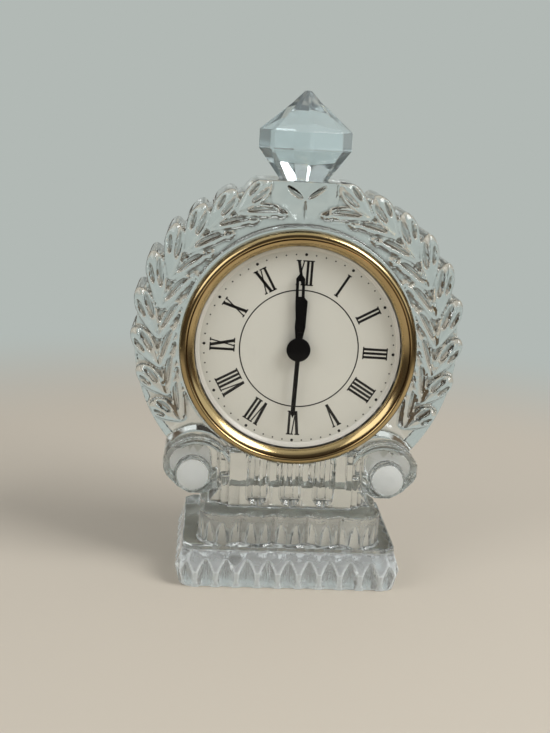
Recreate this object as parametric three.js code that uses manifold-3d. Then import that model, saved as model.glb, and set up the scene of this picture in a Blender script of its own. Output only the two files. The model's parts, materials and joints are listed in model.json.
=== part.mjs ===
// Crystal pedestal clock, in millimetres. +Z is up, the dial faces -Y, and the origin is under
// the middle of the base. The crystal stands for itself; the clock insert drops into its bore.

import * as THREE from 'three';
import { mergeVertices } from 'three/addons/utils/BufferGeometryUtils.js';
import Module from 'manifold-3d';

const wasm = await Module();
wasm.setup();

// Fits: radial gaps of turning pieces, and the gap that glued or sprung pieces keep
const RUNNING_FIT = 0.15;
const SEAT_GAP = 0.3;
const LEVEL_GAP = 0.4;

// Crystal base slab
const BASE_HEIGHT = 15;
const BASE_BELT_HEIGHT = 6;
const BASE_WIDTH = 78;
const BASE_DEPTH = 56;
const BASE_FOOT_INSET = 1.6;
const BASE_CORNER = 3.2;
const BASE_TOP_INSET = 2.4;
const BASE_SHOULDER_DROP = 2.2;
const BASE_FLUTES_ACROSS = 11;
const BASE_FLUTES_DEEP = 8;
const BASE_FLUTE_CUT = 2.4;
const BASE_FLUTE_ARCH = 8.6;
const BASE_FLUTE_POINT = 1.6;
const BASE_FLUTE_SIDES = 12;
const BASE_FLUTE_START = 1;

// Crystal step block
const STEP_HEIGHT = 11;
const STEP_REED_PITCH = 11.5;
const STEP_REEDS_ACROSS = 5;
const STEP_REEDS_DEEP = 4;
const STEP_REED_RISE = 2.3;

// Crystal column
const COLUMN_HALF_WIDTH = 29;
const COLUMN_WAIST_HALF_WIDTH = 24.5;
const COLUMN_WAIST_RISE = 6;
const COLUMN_PANEL_DEPTH = 30;
const COLUMN_WING_DEPTH = 23;
const COLUMN_FLUTES = 3;
const COLUMN_FLUTE_RADIUS = 4.4;
const COLUMN_FLUTE_CUT = 2.2;
const COLUMN_FLUTE_HEIGHT = 12;

// Crystal volutes
const VOLUTE_X = 32.6;
const VOLUTE_RISE = 10.2;
const VOLUTE_RADIUS = 12.9;
const VOLUTE_BAND = 3.2;
const VOLUTE_BAND_DEPTH = 28.6;
const VOLUTE_PLATE_DEPTH = 22;
const VOLUTE_LEG = 4.2;
const VOLUTE_ARC_END_DEG = 25;
const VOLUTE_SIDES = 4;
const EYE_SHIFT_X = 1.3;
const EYE_RADIUS = 6;
const EYE_DEPTH = 29;
const EYE_CROWN = 0.4;
const EYE_ROUNDING = 1.4;

// The comma's lower side: directions in degrees, and reaches as shares of the volute's radius
const VOLUTE_COMMA = [
  [5, 0.88], [-12, 0.73], [-25, 0.64], [-45, 0.575], [-90, 0.535], [-135, 0.59],
];

// Crystal wreath
const CLOCK_AXIS_Z = 82.3;
const RING_DEPTH = 26;
const RING_WEB_DEPTH = 21;
const RING_RADIUS = 55.2;
const RING_SEAT_RADIUS = 41;
const WEB_START_DEG = -41;
const WEB_SIDES = 48;
const BORE_RADIUS = 37;
const BEZEL_SEAT_RADIUS = 40.7;
const BRANCH_START_DEG = -35;
const BRANCH_BEND_DEG = 50;
const LEAVES_PER_BRANCH = 9;
const LEAF_STEP_DEG = 12.3;
const SPINE_LOW_RADIUS = 47.4;
const SPINE_HIGH_RADIUS = 50;
const FINGER_TUCK = 1;
const FULL_WIDTH_SHARE = 0.69;

// A leaf and a frond of the branches; turns are away from the ring, at its foot and at its top
const LEAF = {
  length: 20.4,
  width: 7.4,
  footShare: 0.42,
  edge: 12.3,
  rise: 1.75,
  back: RING_WEB_DEPTH / 2,
  bow: 0,
  inside: 0,
  turnsDeg: [24, 19],
  stations: [0.02, 0.25, 0.6, 0.88, 0.985],
};
const FROND = {
  length: 16,
  width: 4.6,
  footShare: 0.8,
  edge: 11.2,
  rise: 1.9,
  back: 0,
  bow: 1.2,
  inside: 1.2,
  turnsDeg: [-29, -24],
  stations: [0.04, 0.35, 0.75, 0.97],
};

// A leaf's length up the branch: directions in degrees, and shares of the full length
const LEAF_GROWTH = [[-35, 0.62], [10, 1], [25, 0.97], [50, 0.8], [90, 0.72]];

// Crystal pad and finial
const PAD_TOP_Z = 137.7;
const PAD_TOP_HALF_WIDTH = 12.2;
const PAD_FOOT_Z = 123.5;
const PAD_FOOT_HALF_WIDTH = 8.5;
const PAD_FOOT_DEPTH = 19;
const PAD_DEPTH = 24;
const PAD_RIDGE_SHARE = 1.125;
const FINIAL_SIDES = 8;
const FINIAL_FOOT_RADIUS = 8.3;
const FINIAL_GIRDLE_RADIUS = 15.7;
const FINIAL_GIRDLE_BOTTOM = 10;
const FINIAL_GIRDLE_TOP = 16.2;
const FINIAL_CAP_RADIUS = 5.3;
const FINIAL_CAP_BOTTOM = 25;
const FINIAL_TABLE_RADIUS = 1;
const FINIAL_HEIGHT = 29.3;

// Bezel, lens and dial
const BEZEL_RADIUS = 40;
const BEZEL_RISE = 7;
const BEZEL_LIP_RADIUS = 34.9;
const BEZEL_GROOVE_RADIUS = 37.2;
const BEZEL_GROOVE_CUT = 0.5;
const BEZEL_GROOVE_WIDTH = 0.4;
const BEZEL_ROUNDING = 2;
const BEZEL_WALL_RADIUS = 36.4;
const BEZEL_LIP_THICKNESS = 0.8;
const LENS_SEAT_RISE = 3.9;
const LENS_THICKNESS = 1.2;
const LENS_DOME = 3.7;
const LENS_FLANGE = 1.5;
const LENS_RINGS = 3;
const DIAL_RING_WIDTH = 2.9;
const DIAL_RING_SLOPE = 1.3;
const DIAL_RING_HEIGHT = 1.2;
const DIAL_THICKNESS = 0.5;

// Cup and sleeve
const CUP_RADIUS = 35.8;
const CUP_WALL = 1.5;
const CUP_LENGTH = 31.8;
const CUP_FLOOR = 1.5;
const SLEEVE_THICKNESS = 0.6;
const SLEEVE_LENGTH = 20;
const HATCH_LENGTH = 50.6;
const HATCH_HEIGHT = 14.6;
const HATCH_TAB_RADIUS = 3;

// Movement plates
const FRONT_PLATE_THICKNESS = 1.4;
const BACK_PLATE_THICKNESS = 1.5;
const BACK_PLATE_MARGIN = 0.5;
const PILLAR_RADIUS = 2.2;
const PILLAR_CIRCLE_RADIUS = 29;
const PILLAR_ANGLES_DEG = [15, 140, 270];
const SCREW_SHANK_RADIUS = 0.8;
const SCREW_HEAD_RADIUS = 1.7;
const SCREW_HEAD_HEIGHT = 1;
const SCREW_LENGTH = 6;
const SCREW_SLOT = 0.5;

// Going train, from the rotor to the centre wheel
const WHEEL_THICKNESS = 0.8;
const PINION_EXTRA = 0.2;
const ROTOR_PINION_TEETH = 6;
const FIFTH_WHEEL_TEETH = 30;
const FIFTH_PINION_TEETH = 6;
const SECONDS_WHEEL_TEETH = 36;
const SECONDS_PINION_TEETH = 6;
const THIRD_WHEEL_TEETH = 45;
const THIRD_PINION_TEETH = 6;
const CENTRE_WHEEL_TEETH = 48;
const THIRD_DISTANCE = 12;
const THIRD_DIRECTION_DEG = 180;
const FIFTH_DISTANCE = 11.9;
const FIFTH_DIRECTION_DEG = 100;
const ROTOR_DISTANCE = 9.24;
const ROTOR_DIRECTION_DEG = 30;
const ROTOR_MAGNET_RADIUS = 2.2;

// Motion work, from the minute arbor to the hour wheel, and the hand setting
const CANNON_PINION_TEETH = 8;
const MOTION_WHEEL_TEETH = 24;
const MOTION_PINION_TEETH = 8;
const HOUR_WHEEL_TEETH = 32;
const SETTING_PINION_TEETH = 10;
const MOTION_DISTANCE = 6.4;
const MOTION_DIRECTION_DEG = 30;
const KNOB_RADIUS = 5;
const KNOB_HEIGHT = 3.2;
const KNOB_RIBS = 12;
const KNOB_RIB_RISE = 0.4;
const KNOB_SHAFT_RADIUS = 1;

// Tooth form, in modules and in shares of the tooth pitch
const ADDENDUM = 0.8;
const DEDENDUM = 1.15;
const TOOTH_ROOT_SHARE = 0.5;
const TOOTH_TIP_SHARE = 0.22;

// Arbors and pipes
const ARBOR_RADIUS = 0.45;
const MINUTE_ARBOR_RADIUS = 1.15;
const HOUR_PIPE_RADIUS = 2.2;
const STUD_RADIUS = 0.5;

// Hands
const HAND_THICKNESS = 0.4;
const HAND_STEP = 0.9;
const HOUR_HAND_LENGTH = 18.3;
const HOUR_HAND_WIDTH = 3.2;
const MINUTE_HAND_LENGTH = 26;
const MINUTE_HAND_WIDTH = 2.6;
const HAND_ROOT_WIDTH = 1.7;
const HAND_POINT = 2;
const HAND_TAPER = 10.9;
const HAND_SLOT_WIDTH = 0.9;
const HAND_SLOT_LENGTH = 5.2;
const HOUR_BOSS_RADIUS = 3.4;
const MINUTE_BOSS_RADIUS = 2.6;
const SECOND_HAND_LENGTH = 23.7;
const SECOND_HAND_WIDTH = 1.5;
const SECOND_HAND_TAIL = 6;
const HUB_RADIUS = 4.05;
const HUB_HEIGHT = 0.8;
const HOUR_HAND_DEG = 1.75;
const MINUTE_HAND_DEG = -1;
const SECOND_HAND_DEG = 182;

// Coil, stator and circuit
const COIL_Z = 24.5;
const COIL_LENGTH = 16;
const COIL_FLANGE_RADIUS = 3.6;
const COIL_FLANGE = 0.8;
const COIL_WINDING_RADIUS = 3;
const BOBBIN_WALL = 0.5;
const CORE_LENGTH = 24;
const CORE_HEIGHT = 2.4;
const CORE_THICKNESS = 1;
const STATOR_THICKNESS = 1.2;
const STATOR_LEG = 4;
const STATOR_BAND = 7.4;
const STATOR_HOLE_GAP = 0.5;
const BOARD_WIDTH = 13;
const BOARD_HEIGHT = 16;
const BOARD_THICKNESS = 1;
const BOARD_X = -21;
const BOARD_Z = 6;
const CHIP_RADIUS = 2.8;
const CHIP_HEIGHT = 1.3;
const QUARTZ_RADIUS = 1.5;
const QUARTZ_LENGTH = 8;

// Battery and its contacts
const CELL_RADIUS = 7.1;
const CELL_LENGTH = 50.5;
const CELL_NUB_RADIUS = 2.7;
const CELL_NUB_LENGTH = 1;
const CELL_EDGE = 0.5;
const CELL_Z = -14;
const TRAY_RAIL = 1.2;
const TRAY_RAIL_HEIGHT = 6;
const TRAY_RAIL_LENGTH = 40;
const RAIL_ROOT = 0.5;
const CONTACT_THICKNESS = 0.4;
const CONTACT_WIDTH = 7;
const CONTACT_HEIGHT = 13;
const DIMPLE_RADIUS = 2;
const DIMPLE_RISE = 0.2;

// Facets of the large round pieces and of the slim ones
const ROUND = 36;
const SLIM = 8;

const TAU = 2 * Math.PI;
const radians = (degrees) => (degrees * Math.PI) / 180;

// Levels along Y, worked out from the bezel's seat towards the back
const SEAT_Y = -RING_DEPTH / 2;
const BEZEL_FRONT_Y = SEAT_Y - BEZEL_RISE;
const LENS_SEAT_Y = SEAT_Y - LENS_SEAT_RISE;
const DIAL_RING_FRONT_Y = LENS_SEAT_Y + LENS_THICKNESS;
const DIAL_FRONT_Y = DIAL_RING_FRONT_Y + DIAL_RING_HEIGHT;
const DIAL_BACK_Y = DIAL_FRONT_Y + DIAL_THICKNESS;
const PLATE_BACK_Y = DIAL_BACK_Y + FRONT_PLATE_THICKNESS;
const LEVEL_PITCH = WHEEL_THICKNESS + 2 * PINION_EXTRA + LEVEL_GAP;
const levelY = (level) => PLATE_BACK_Y + LEVEL_GAP + PINION_EXTRA + level * LEVEL_PITCH;
const HOUR_LEVEL = levelY(0);
const MOTION_LEVEL = levelY(1);
const CENTRE_LEVEL = levelY(2);
const THIRD_LEVEL = levelY(3);
const SECONDS_LEVEL = levelY(4);
const FIFTH_LEVEL = levelY(5);
const STATOR_FRONT_Y = FIFTH_LEVEL + WHEEL_THICKNESS + PINION_EXTRA + LEVEL_GAP;
const CORE_FRONT_Y = STATOR_FRONT_Y + STATOR_THICKNESS;
const BACK_PLATE_FRONT_Y = CORE_FRONT_Y + CORE_THICKNESS + LEVEL_GAP;
const BACK_PLATE_BACK_Y = BACK_PLATE_FRONT_Y + BACK_PLATE_THICKNESS;
const CELL_Y = BACK_PLATE_BACK_Y + SEAT_GAP + CELL_RADIUS;
const CUP_BACK_Y = DIAL_BACK_Y + CUP_LENGTH;
const CUP_FLOOR_Y = CUP_BACK_Y - CUP_FLOOR;
const HOUR_HAND_Y = DIAL_FRONT_Y - HAND_STEP;
const MINUTE_HAND_Y = HOUR_HAND_Y - HAND_STEP;
const SECOND_HAND_Y = MINUTE_HAND_Y - HAND_STEP;

// Radii that follow from the fits
const CUP_INNER_RADIUS = CUP_RADIUS - CUP_WALL;
const STACK_RADIUS = BEZEL_WALL_RADIUS - SEAT_GAP;
const MINUTE_BORE_RADIUS = ARBOR_RADIUS + RUNNING_FIT;
const HOUR_BORE_RADIUS = MINUTE_ARBOR_RADIUS + SEAT_GAP;
const HOUR_PIPE_HOLE_RADIUS = HOUR_PIPE_RADIUS + SEAT_GAP;
const STEP_TOP_Z = BASE_HEIGHT + STEP_HEIGHT;

const materials = {
  crystal: new THREE.MeshStandardMaterial({ color: 0xdfe8e8, roughness: 0.05, metalness: 0 }),
  finial: new THREE.MeshStandardMaterial({ color: 0xc9dde3, roughness: 0.05, metalness: 0 }),
  brass: new THREE.MeshStandardMaterial({ color: 0xc39a55, roughness: 0.25, metalness: 1 }),
  lens: new THREE.MeshStandardMaterial({ color: 0xf1f4f3, roughness: 0.03, metalness: 0 }),
  dial: new THREE.MeshStandardMaterial({ color: 0xe9e4d8, roughness: 0.6, metalness: 0 }),
  handBlack: new THREE.MeshStandardMaterial({ color: 0x111111, roughness: 0.35, metalness: 0.2 }),
  casing: new THREE.MeshStandardMaterial({ color: 0x1b1b1c, roughness: 0.5, metalness: 0 }),
  rubber: new THREE.MeshStandardMaterial({ color: 0x2a2a2b, roughness: 0.8, metalness: 0 }),
  plate: new THREE.MeshStandardMaterial({ color: 0xd8d5cb, roughness: 0.5, metalness: 0 }),
  wheel: new THREE.MeshStandardMaterial({ color: 0xf2efe6, roughness: 0.4, metalness: 0 }),
  steel: new THREE.MeshStandardMaterial({ color: 0xb5b8ba, roughness: 0.3, metalness: 1 }),
  copper: new THREE.MeshStandardMaterial({ color: 0xa3552b, roughness: 0.4, metalness: 1 }),
  board: new THREE.MeshStandardMaterial({ color: 0x2d6a3a, roughness: 0.5, metalness: 0 }),
  resin: new THREE.MeshStandardMaterial({ color: 0x0c0c0d, roughness: 0.3, metalness: 0 }),
  cell: new THREE.MeshStandardMaterial({ color: 0x6d7377, roughness: 0.35, metalness: 0.6 }),
};

// A closed geometry with merged corners, no collapsed triangles and its faces pointing out
function closed(geometry) {
  const source = geometry.clone();
  source.deleteAttribute('normal');
  source.deleteAttribute('uv');
  const merged = mergeVertices(source, 1e-4);
  const point = merged.attributes.position;
  const corners = [0, 1, 2].map(() => new THREE.Vector3());
  const kept = [];
  let volume = 0;
  for (let i = 0; i < merged.index.count; i += 3) {
    const [a, b, c] = [0, 1, 2].map((k) => merged.index.getX(i + k));
    if (a === b || b === c || c === a) continue;
    [a, b, c].forEach((index, k) => corners[k].fromBufferAttribute(point, index));
    volume += corners[0].dot(corners[1].clone().cross(corners[2]));
    kept.push([a, b, c]);
  }
  const outward = volume > 0 ? kept : kept.map(([a, b, c]) => [a, c, b]);
  const result = new THREE.BufferGeometry();
  result.setAttribute('position', point.clone());
  result.setIndex(outward.flat());
  return result;
}

function solid(geometry) {
  const body = closed(geometry);
  return new wasm.Manifold(new wasm.Mesh({
    numProp: 3,
    vertProperties: new Float32Array(body.attributes.position.array),
    triVerts: new Uint32Array(body.index.array),
  }));
}

function joined(solids) {
  return solids.reduce((whole, next) => whole.add(next));
}

function geometryOf(manifold) {
  const mesh = manifold.getMesh();
  const geometry = new THREE.BufferGeometry();
  geometry.setAttribute('position', new THREE.BufferAttribute(mesh.vertProperties, 3));
  geometry.setIndex(new THREE.BufferAttribute(mesh.triVerts, 1));
  return geometry;
}

// A profile of [radius, y] points turned about the Y axis
function turned(profile, segments) {
  const points = profile.map(([radius, y]) => new THREE.Vector2(radius, y));
  return new THREE.LatheGeometry(points, segments);
}

function rod(radius, front, back, segments = SLIM) {
  return turned([[0, front], [radius, front], [radius, back], [0, back]], segments);
}

function tube(inner, outer, front, back, segments = 16) {
  return turned([
    [inner, front], [outer, front], [outer, back], [inner, back], [inner, front],
  ], segments);
}

// An outline drawn in X and Z, filled from one Y level to another
function slab(shape, front, back, curveSegments = 12) {
  const geometry = new THREE.ExtrudeGeometry(shape, {
    depth: back - front, bevelEnabled: false, curveSegments,
  });
  return geometry.rotateX(Math.PI / 2).translate(0, back, 0);
}

function block(width, depth, height, x, y, z) {
  return new THREE.BoxGeometry(width, depth, height).translate(x, y, z);
}

function outline(points) {
  return new THREE.Shape(points.map(([x, z]) => new THREE.Vector2(x, z)));
}

// Rings of points with the same count, joined into one skin and capped at both ends
function lofted(rings) {
  const count = rings[0].length;
  const index = [];
  for (let ring = 0; ring < rings.length - 1; ring += 1) {
    for (let k = 0; k < count; k += 1) {
      const next = (k + 1) % count;
      const [a, b] = [ring * count + k, ring * count + next];
      const [c, d] = [a + count, b + count];
      index.push(a, b, d, a, d, c);
    }
  }
  const last = (rings.length - 1) * count;
  for (let k = 1; k < count - 1; k += 1) {
    index.push(0, k + 1, k);
    index.push(last, last + k, last + k + 1);
  }
  const geometry = new THREE.BufferGeometry();
  geometry.setAttribute('position', new THREE.Float32BufferAttribute(rings.flat(2), 3));
  geometry.setIndex(index);
  return geometry;
}

// A slab of the base: rectangles with cut corners that swell to the belt and draw in to the top
function baseSlab() {
  const rectangle = (inset, z) => {
    const [x, y] = [BASE_WIDTH / 2 - inset, BASE_DEPTH / 2 - inset];
    const [nearX, nearY] = [x - BASE_CORNER, y - BASE_CORNER];
    return [
      [-nearX, -y, z], [nearX, -y, z], [x, -nearY, z], [x, nearY, z],
      [nearX, y, z], [-nearX, y, z], [-x, nearY, z], [-x, -nearY, z],
    ];
  };
  return solid(lofted([
    rectangle(BASE_FOOT_INSET, 0),
    rectangle(0, BASE_BELT_HEIGHT),
    rectangle(BASE_TOP_INSET, BASE_HEIGHT - BASE_SHOULDER_DROP),
    rectangle(BASE_TOP_INSET, BASE_HEIGHT),
  ]));
}

// The tool that cuts one pointed flute into the side of the base
function fluteTool(pitch) {
  const halfPitch = pitch / 2;
  const radius = (halfPitch ** 2 + BASE_FLUTE_CUT ** 2) / (2 * BASE_FLUTE_CUT);
  const spring = BASE_BELT_HEIGHT - BASE_FLUTE_START;
  const arch = [1, 0.65, 0].map((share) => [
    radius * share, spring + BASE_FLUTE_ARCH * (1 - share ** BASE_FLUTE_POINT),
  ]);
  const profile = [[0, -1], [radius, -1], ...arch];
  return { radius, geometry: turned(profile, BASE_FLUTE_SIDES).rotateX(Math.PI / 2) };
}

function fluteRow(count, length, reach) {
  const pitch = length / count;
  const { radius, geometry } = fluteTool(pitch);
  const out = reach + radius - BASE_FLUTE_CUT;
  const places = Array.from({ length: count }, (_, i) => (i - (count - 1) / 2) * pitch);
  return places.map((along) => ({ geometry, along, out }));
}

function base() {
  let body = baseSlab();
  const across = fluteRow(BASE_FLUTES_ACROSS, BASE_WIDTH, BASE_DEPTH / 2);
  const deep = fluteRow(BASE_FLUTES_DEEP, BASE_DEPTH, BASE_WIDTH / 2);
  for (const side of [-1, 1]) {
    for (const { geometry, along, out } of across) {
      body = body.subtract(solid(geometry.clone().translate(along, side * out, 0)));
    }
    for (const { geometry, along, out } of deep) {
      body = body.subtract(solid(geometry.clone().translate(side * out, along, 0)));
    }
  }
  return body;
}

// The step block: one reeded outline, seen from above
function stepBlock() {
  const halfPitch = STEP_REED_PITCH / 2;
  const radius = (halfPitch ** 2 + STEP_REED_RISE ** 2) / (2 * STEP_REED_RISE);
  const spread = Math.asin(halfPitch / radius);
  const halfX = STEP_REEDS_ACROSS * halfPitch;
  const halfY = STEP_REEDS_DEEP * halfPitch;
  const shape = new THREE.Shape();
  shape.moveTo(-halfX, -halfY);
  const reed = (x, y, facing) => {
    const back = radius - STEP_REED_RISE;
    const [cx, cy] = [x - back * Math.cos(facing), y - back * Math.sin(facing)];
    shape.absarc(cx, cy, radius, facing - spread, facing + spread, false);
  };
  const row = (count, place) => {
    for (let i = 0; i < count; i += 1) place((i - (count - 1) / 2) * STEP_REED_PITCH);
  };
  row(STEP_REEDS_ACROSS, (along) => reed(along, -halfY, -Math.PI / 2));
  row(STEP_REEDS_DEEP, (along) => reed(halfX, along, 0));
  row(STEP_REEDS_ACROSS, (along) => reed(-along, halfY, Math.PI / 2));
  row(STEP_REEDS_DEEP, (along) => reed(-halfX, -along, Math.PI));
  const geometry = new THREE.ExtrudeGeometry(shape, {
    depth: STEP_HEIGHT + 1, bevelEnabled: false, curveSegments: 3,
  });
  return solid(geometry.translate(0, 0, BASE_HEIGHT - 1));
}

// The column: recessed wings, and a raised middle panel with round-headed flutes
function column() {
  const foot = STEP_TOP_Z - 1;
  const top = CLOCK_AXIS_Z - BORE_RADIUS - 1;
  const wings = slab(outline([
    [-COLUMN_HALF_WIDTH, foot],
    [COLUMN_HALF_WIDTH, foot],
    [COLUMN_WAIST_HALF_WIDTH, foot + COLUMN_WAIST_RISE],
    [COLUMN_WAIST_HALF_WIDTH, top],
    [-COLUMN_WAIST_HALF_WIDTH, top],
    [-COLUMN_WAIST_HALF_WIDTH, foot + COLUMN_WAIST_RISE],
  ]), -COLUMN_WING_DEPTH / 2, COLUMN_WING_DEPTH / 2);
  const panelHalf = VOLUTE_X - VOLUTE_RADIUS + VOLUTE_BAND / 2;
  const panel = slab(outline([
    [-panelHalf, foot], [panelHalf, foot], [panelHalf, top], [-panelHalf, top],
  ]), -COLUMN_PANEL_DEPTH / 2, COLUMN_PANEL_DEPTH / 2);
  let body = solid(wings).add(solid(panel));
  const out = COLUMN_PANEL_DEPTH / 2 + COLUMN_FLUTE_RADIUS - COLUMN_FLUTE_CUT;
  const profile = [[0, -COLUMN_FLUTE_RADIUS]];
  for (const turn of [-50, 0, 0, 35, 65]) {
    const rise = profile.length > 2 ? COLUMN_FLUTE_HEIGHT : 0;
    const angle = radians(turn);
    profile.push([
      COLUMN_FLUTE_RADIUS * Math.cos(angle), COLUMN_FLUTE_RADIUS * Math.sin(angle) + rise,
    ]);
  }
  profile.push([0, COLUMN_FLUTE_HEIGHT + COLUMN_FLUTE_RADIUS]);
  const flute = turned(profile, 18).rotateX(Math.PI / 2);
  const lift = STEP_TOP_Z + COLUMN_FLUTE_RADIUS;
  for (const side of [-1, 1]) {
    for (let i = 0; i < COLUMN_FLUTES; i += 1) {
      const x = (i - (COLUMN_FLUTES - 1) / 2) * STEP_REED_PITCH;
      body = body.subtract(solid(flute.clone().translate(x, side * out, lift)));
    }
  }
  return body;
}

// The outline of a scroll: an arch that closes below like a comma
function comma(band) {
  const centreZ = STEP_TOP_Z + VOLUTE_RISE;
  const radius = VOLUTE_RADIUS - band;
  const shape = new THREE.Shape();
  shape.absarc(VOLUTE_X, centreZ, radius, Math.PI, radians(VOLUTE_ARC_END_DEG), true);
  shape.splineThru([...VOLUTE_COMMA, [-180, 1]].map(([direction, share]) => {
    const reach = share * VOLUTE_RADIUS - band;
    const angle = radians(direction);
    return new THREE.Vector2(
      VOLUTE_X + reach * Math.cos(angle), centreZ + reach * Math.sin(angle),
    );
  }));
  return shape;
}

// One scroll beside the column: a band round a plate sunk on both faces, a round eye and a leg
function volute(side) {
  const placed = (geometry) => solid(geometry.scale(side, 1, 1));
  const centreZ = STEP_TOP_Z + VOLUTE_RISE;
  const face = VOLUTE_BAND_DEPTH / 2;
  const plate = VOLUTE_PLATE_DEPTH / 2;
  const eyeFace = EYE_DEPTH / 2;
  const eye = turned([
    [0, -eyeFace], [0.75 * EYE_RADIUS, EYE_CROWN - eyeFace], [EYE_RADIUS, EYE_ROUNDING - eyeFace],
    [EYE_RADIUS, eyeFace - EYE_ROUNDING], [0.75 * EYE_RADIUS, eyeFace - EYE_CROWN], [0, eyeFace],
  ], 16).translate(VOLUTE_X + EYE_SHIFT_X, 0, centreZ);
  const foot = STEP_TOP_Z - 1;
  const leg = block(
    VOLUTE_LEG, VOLUTE_BAND_DEPTH, centreZ - foot,
    VOLUTE_X - VOLUTE_RADIUS + VOLUTE_LEG / 2, 0, (centreZ + foot) / 2,
  );
  const scroll = placed(slab(comma(0), -face, face, VOLUTE_SIDES))
    .subtract(placed(slab(comma(VOLUTE_BAND), -face - 1, -plate, VOLUTE_SIDES)))
    .subtract(placed(slab(comma(VOLUTE_BAND), plate, face + 1, VOLUTE_SIDES)));
  return joined([scroll, placed(eye), placed(leg)]);
}

// The value at one place along a row of [place, value] points
function between(points, at) {
  const next = points.findIndex(([place]) => at <= place);
  if (next === -1) return points[points.length - 1][1];
  if (next === 0) return points[0][1];
  const [[low, value], [high, nextValue]] = [points[next - 1], points[next]];
  return value + ((at - low) / (high - low)) * (nextValue - value);
}

// One finger of a branch: an egg-shaped outline with a ridge along its front
function finger(form, angleDeg, stretch, side) {
  const climb = Math.min(Math.max(angleDeg / BRANCH_BEND_DEG, 0), 1);
  const spine = SPINE_LOW_RADIUS + climb * (SPINE_HIGH_RADIUS - SPINE_LOW_RADIUS) - form.inside;
  const turnDeg = form.turnsDeg[0] + climb * (form.turnsDeg[1] - form.turnsDeg[0]);
  const angle = radians(angleDeg);
  const facing = radians(angleDeg - turnDeg);
  const rings = form.stations.map((share) => {
    const round = Math.sqrt(1 - (2 * share - 1) ** 2);
    const narrow = form.footShare + (1 - form.footShare) * Math.min(1, share / FULL_WIDTH_SHARE);
    const half = (form.width / 2) * narrow * round;
    const ridge = form.edge + form.rise * Math.sqrt(round);
    const out = form.bow * round ** 2;
    const along = stretch * (share * form.length - FINGER_TUCK);
    const point = (offset, y) => [
      side * (spine * Math.cos(angle) - along * Math.sin(facing)
        + (out + offset) * Math.cos(facing)),
      y,
      CLOCK_AXIS_Z + spine * Math.sin(angle) + along * Math.cos(facing)
        + (out + offset) * Math.sin(facing),
    ];
    return [
      point(-half, -form.edge), point(0, -ridge), point(half, -form.edge),
      point(half, form.back), point(-half, form.back),
    ];
  });
  return solid(lofted(rings));
}

// The ring: a flat seat round the bore, a web, and two branches of leaves on its front
function wreath() {
  const start = radians(WEB_START_DEG);
  const back = RING_WEB_DEPTH / 2;
  const web = new THREE.Shape();
  web.absarc(0, CLOCK_AXIS_Z, RING_RADIUS, start, Math.PI - start, false);
  let body = solid(slab(web, -back, back, WEB_SIDES));
  const seat = rod(RING_SEAT_RADIUS, -RING_DEPTH / 2, back, ROUND);
  body = body.add(solid(seat.translate(0, 0, CLOCK_AXIS_Z)));
  for (const side of [-1, 1]) {
    for (let i = 0; i < LEAVES_PER_BRANCH; i += 1) {
      const angleDeg = BRANCH_START_DEG + i * LEAF_STEP_DEG;
      body = body.add(finger(LEAF, angleDeg, between(LEAF_GROWTH, angleDeg), side));
      body = body.add(finger(FROND, angleDeg, 1, side));
    }
  }
  return body;
}

// The pad under the finial: it widens towards its top, with an upright ridge on both faces
function pad() {
  const ring = (half, depth, z) => [
    [-half, -depth / 2, z], [0, (-depth / 2) * PAD_RIDGE_SHARE, z], [half, -depth / 2, z],
    [half, depth / 2, z], [0, (depth / 2) * PAD_RIDGE_SHARE, z], [-half, depth / 2, z],
  ];
  return solid(lofted([
    ring(PAD_FOOT_HALF_WIDTH, PAD_FOOT_DEPTH, PAD_FOOT_Z),
    ring(PAD_TOP_HALF_WIDTH, PAD_DEPTH, PAD_TOP_Z),
  ]));
}

function crystalBody() {
  const axis = (geometry) => solid(geometry.translate(0, 0, CLOCK_AXIS_Z));
  const whole = joined([
    base(), stepBlock(), column(), wreath(), pad(), volute(-1), volute(1),
  ]);
  const above = solid(block(
    4 * PAD_TOP_HALF_WIDTH, 2 * BASE_DEPTH, FINIAL_HEIGHT, 0, 0, PAD_TOP_Z + FINIAL_HEIGHT / 2,
  ));
  const reach = BASE_DEPTH;
  return whole
    .subtract(above)
    .subtract(axis(rod(BORE_RADIUS, -reach, reach, ROUND)))
    .subtract(axis(rod(BEZEL_SEAT_RADIUS, -reach, SEAT_Y, ROUND)));
}

function crystalFinial() {
  const profile = [
    [0, 0],
    [FINIAL_FOOT_RADIUS, 0],
    [FINIAL_GIRDLE_RADIUS, FINIAL_GIRDLE_BOTTOM],
    [FINIAL_GIRDLE_RADIUS, FINIAL_GIRDLE_TOP],
    [FINIAL_CAP_RADIUS, FINIAL_CAP_BOTTOM],
    [FINIAL_TABLE_RADIUS, FINIAL_HEIGHT],
    [0, FINIAL_HEIGHT],
  ];
  return turned(profile, FINIAL_SIDES).rotateX(Math.PI / 2);
}

function bezel() {
  const front = BEZEL_FRONT_Y;
  const lipBack = LENS_SEAT_Y;
  const crown = [0, 30, 65].map((turn) => [
    BEZEL_RADIUS - BEZEL_ROUNDING * (1 - Math.cos(radians(turn))),
    front + BEZEL_ROUNDING * (1 - Math.sin(radians(turn))),
  ]);
  return turned([
    [BEZEL_WALL_RADIUS, SEAT_Y],
    [BEZEL_RADIUS, SEAT_Y],
    ...crown,
    [BEZEL_GROOVE_RADIUS + BEZEL_GROOVE_WIDTH, front],
    [BEZEL_GROOVE_RADIUS, front + BEZEL_GROOVE_CUT],
    [BEZEL_LIP_RADIUS, lipBack - BEZEL_LIP_THICKNESS],
    [BEZEL_LIP_RADIUS, lipBack],
    [BEZEL_WALL_RADIUS, lipBack],
    [BEZEL_WALL_RADIUS, SEAT_Y],
  ], ROUND);
}

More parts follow.
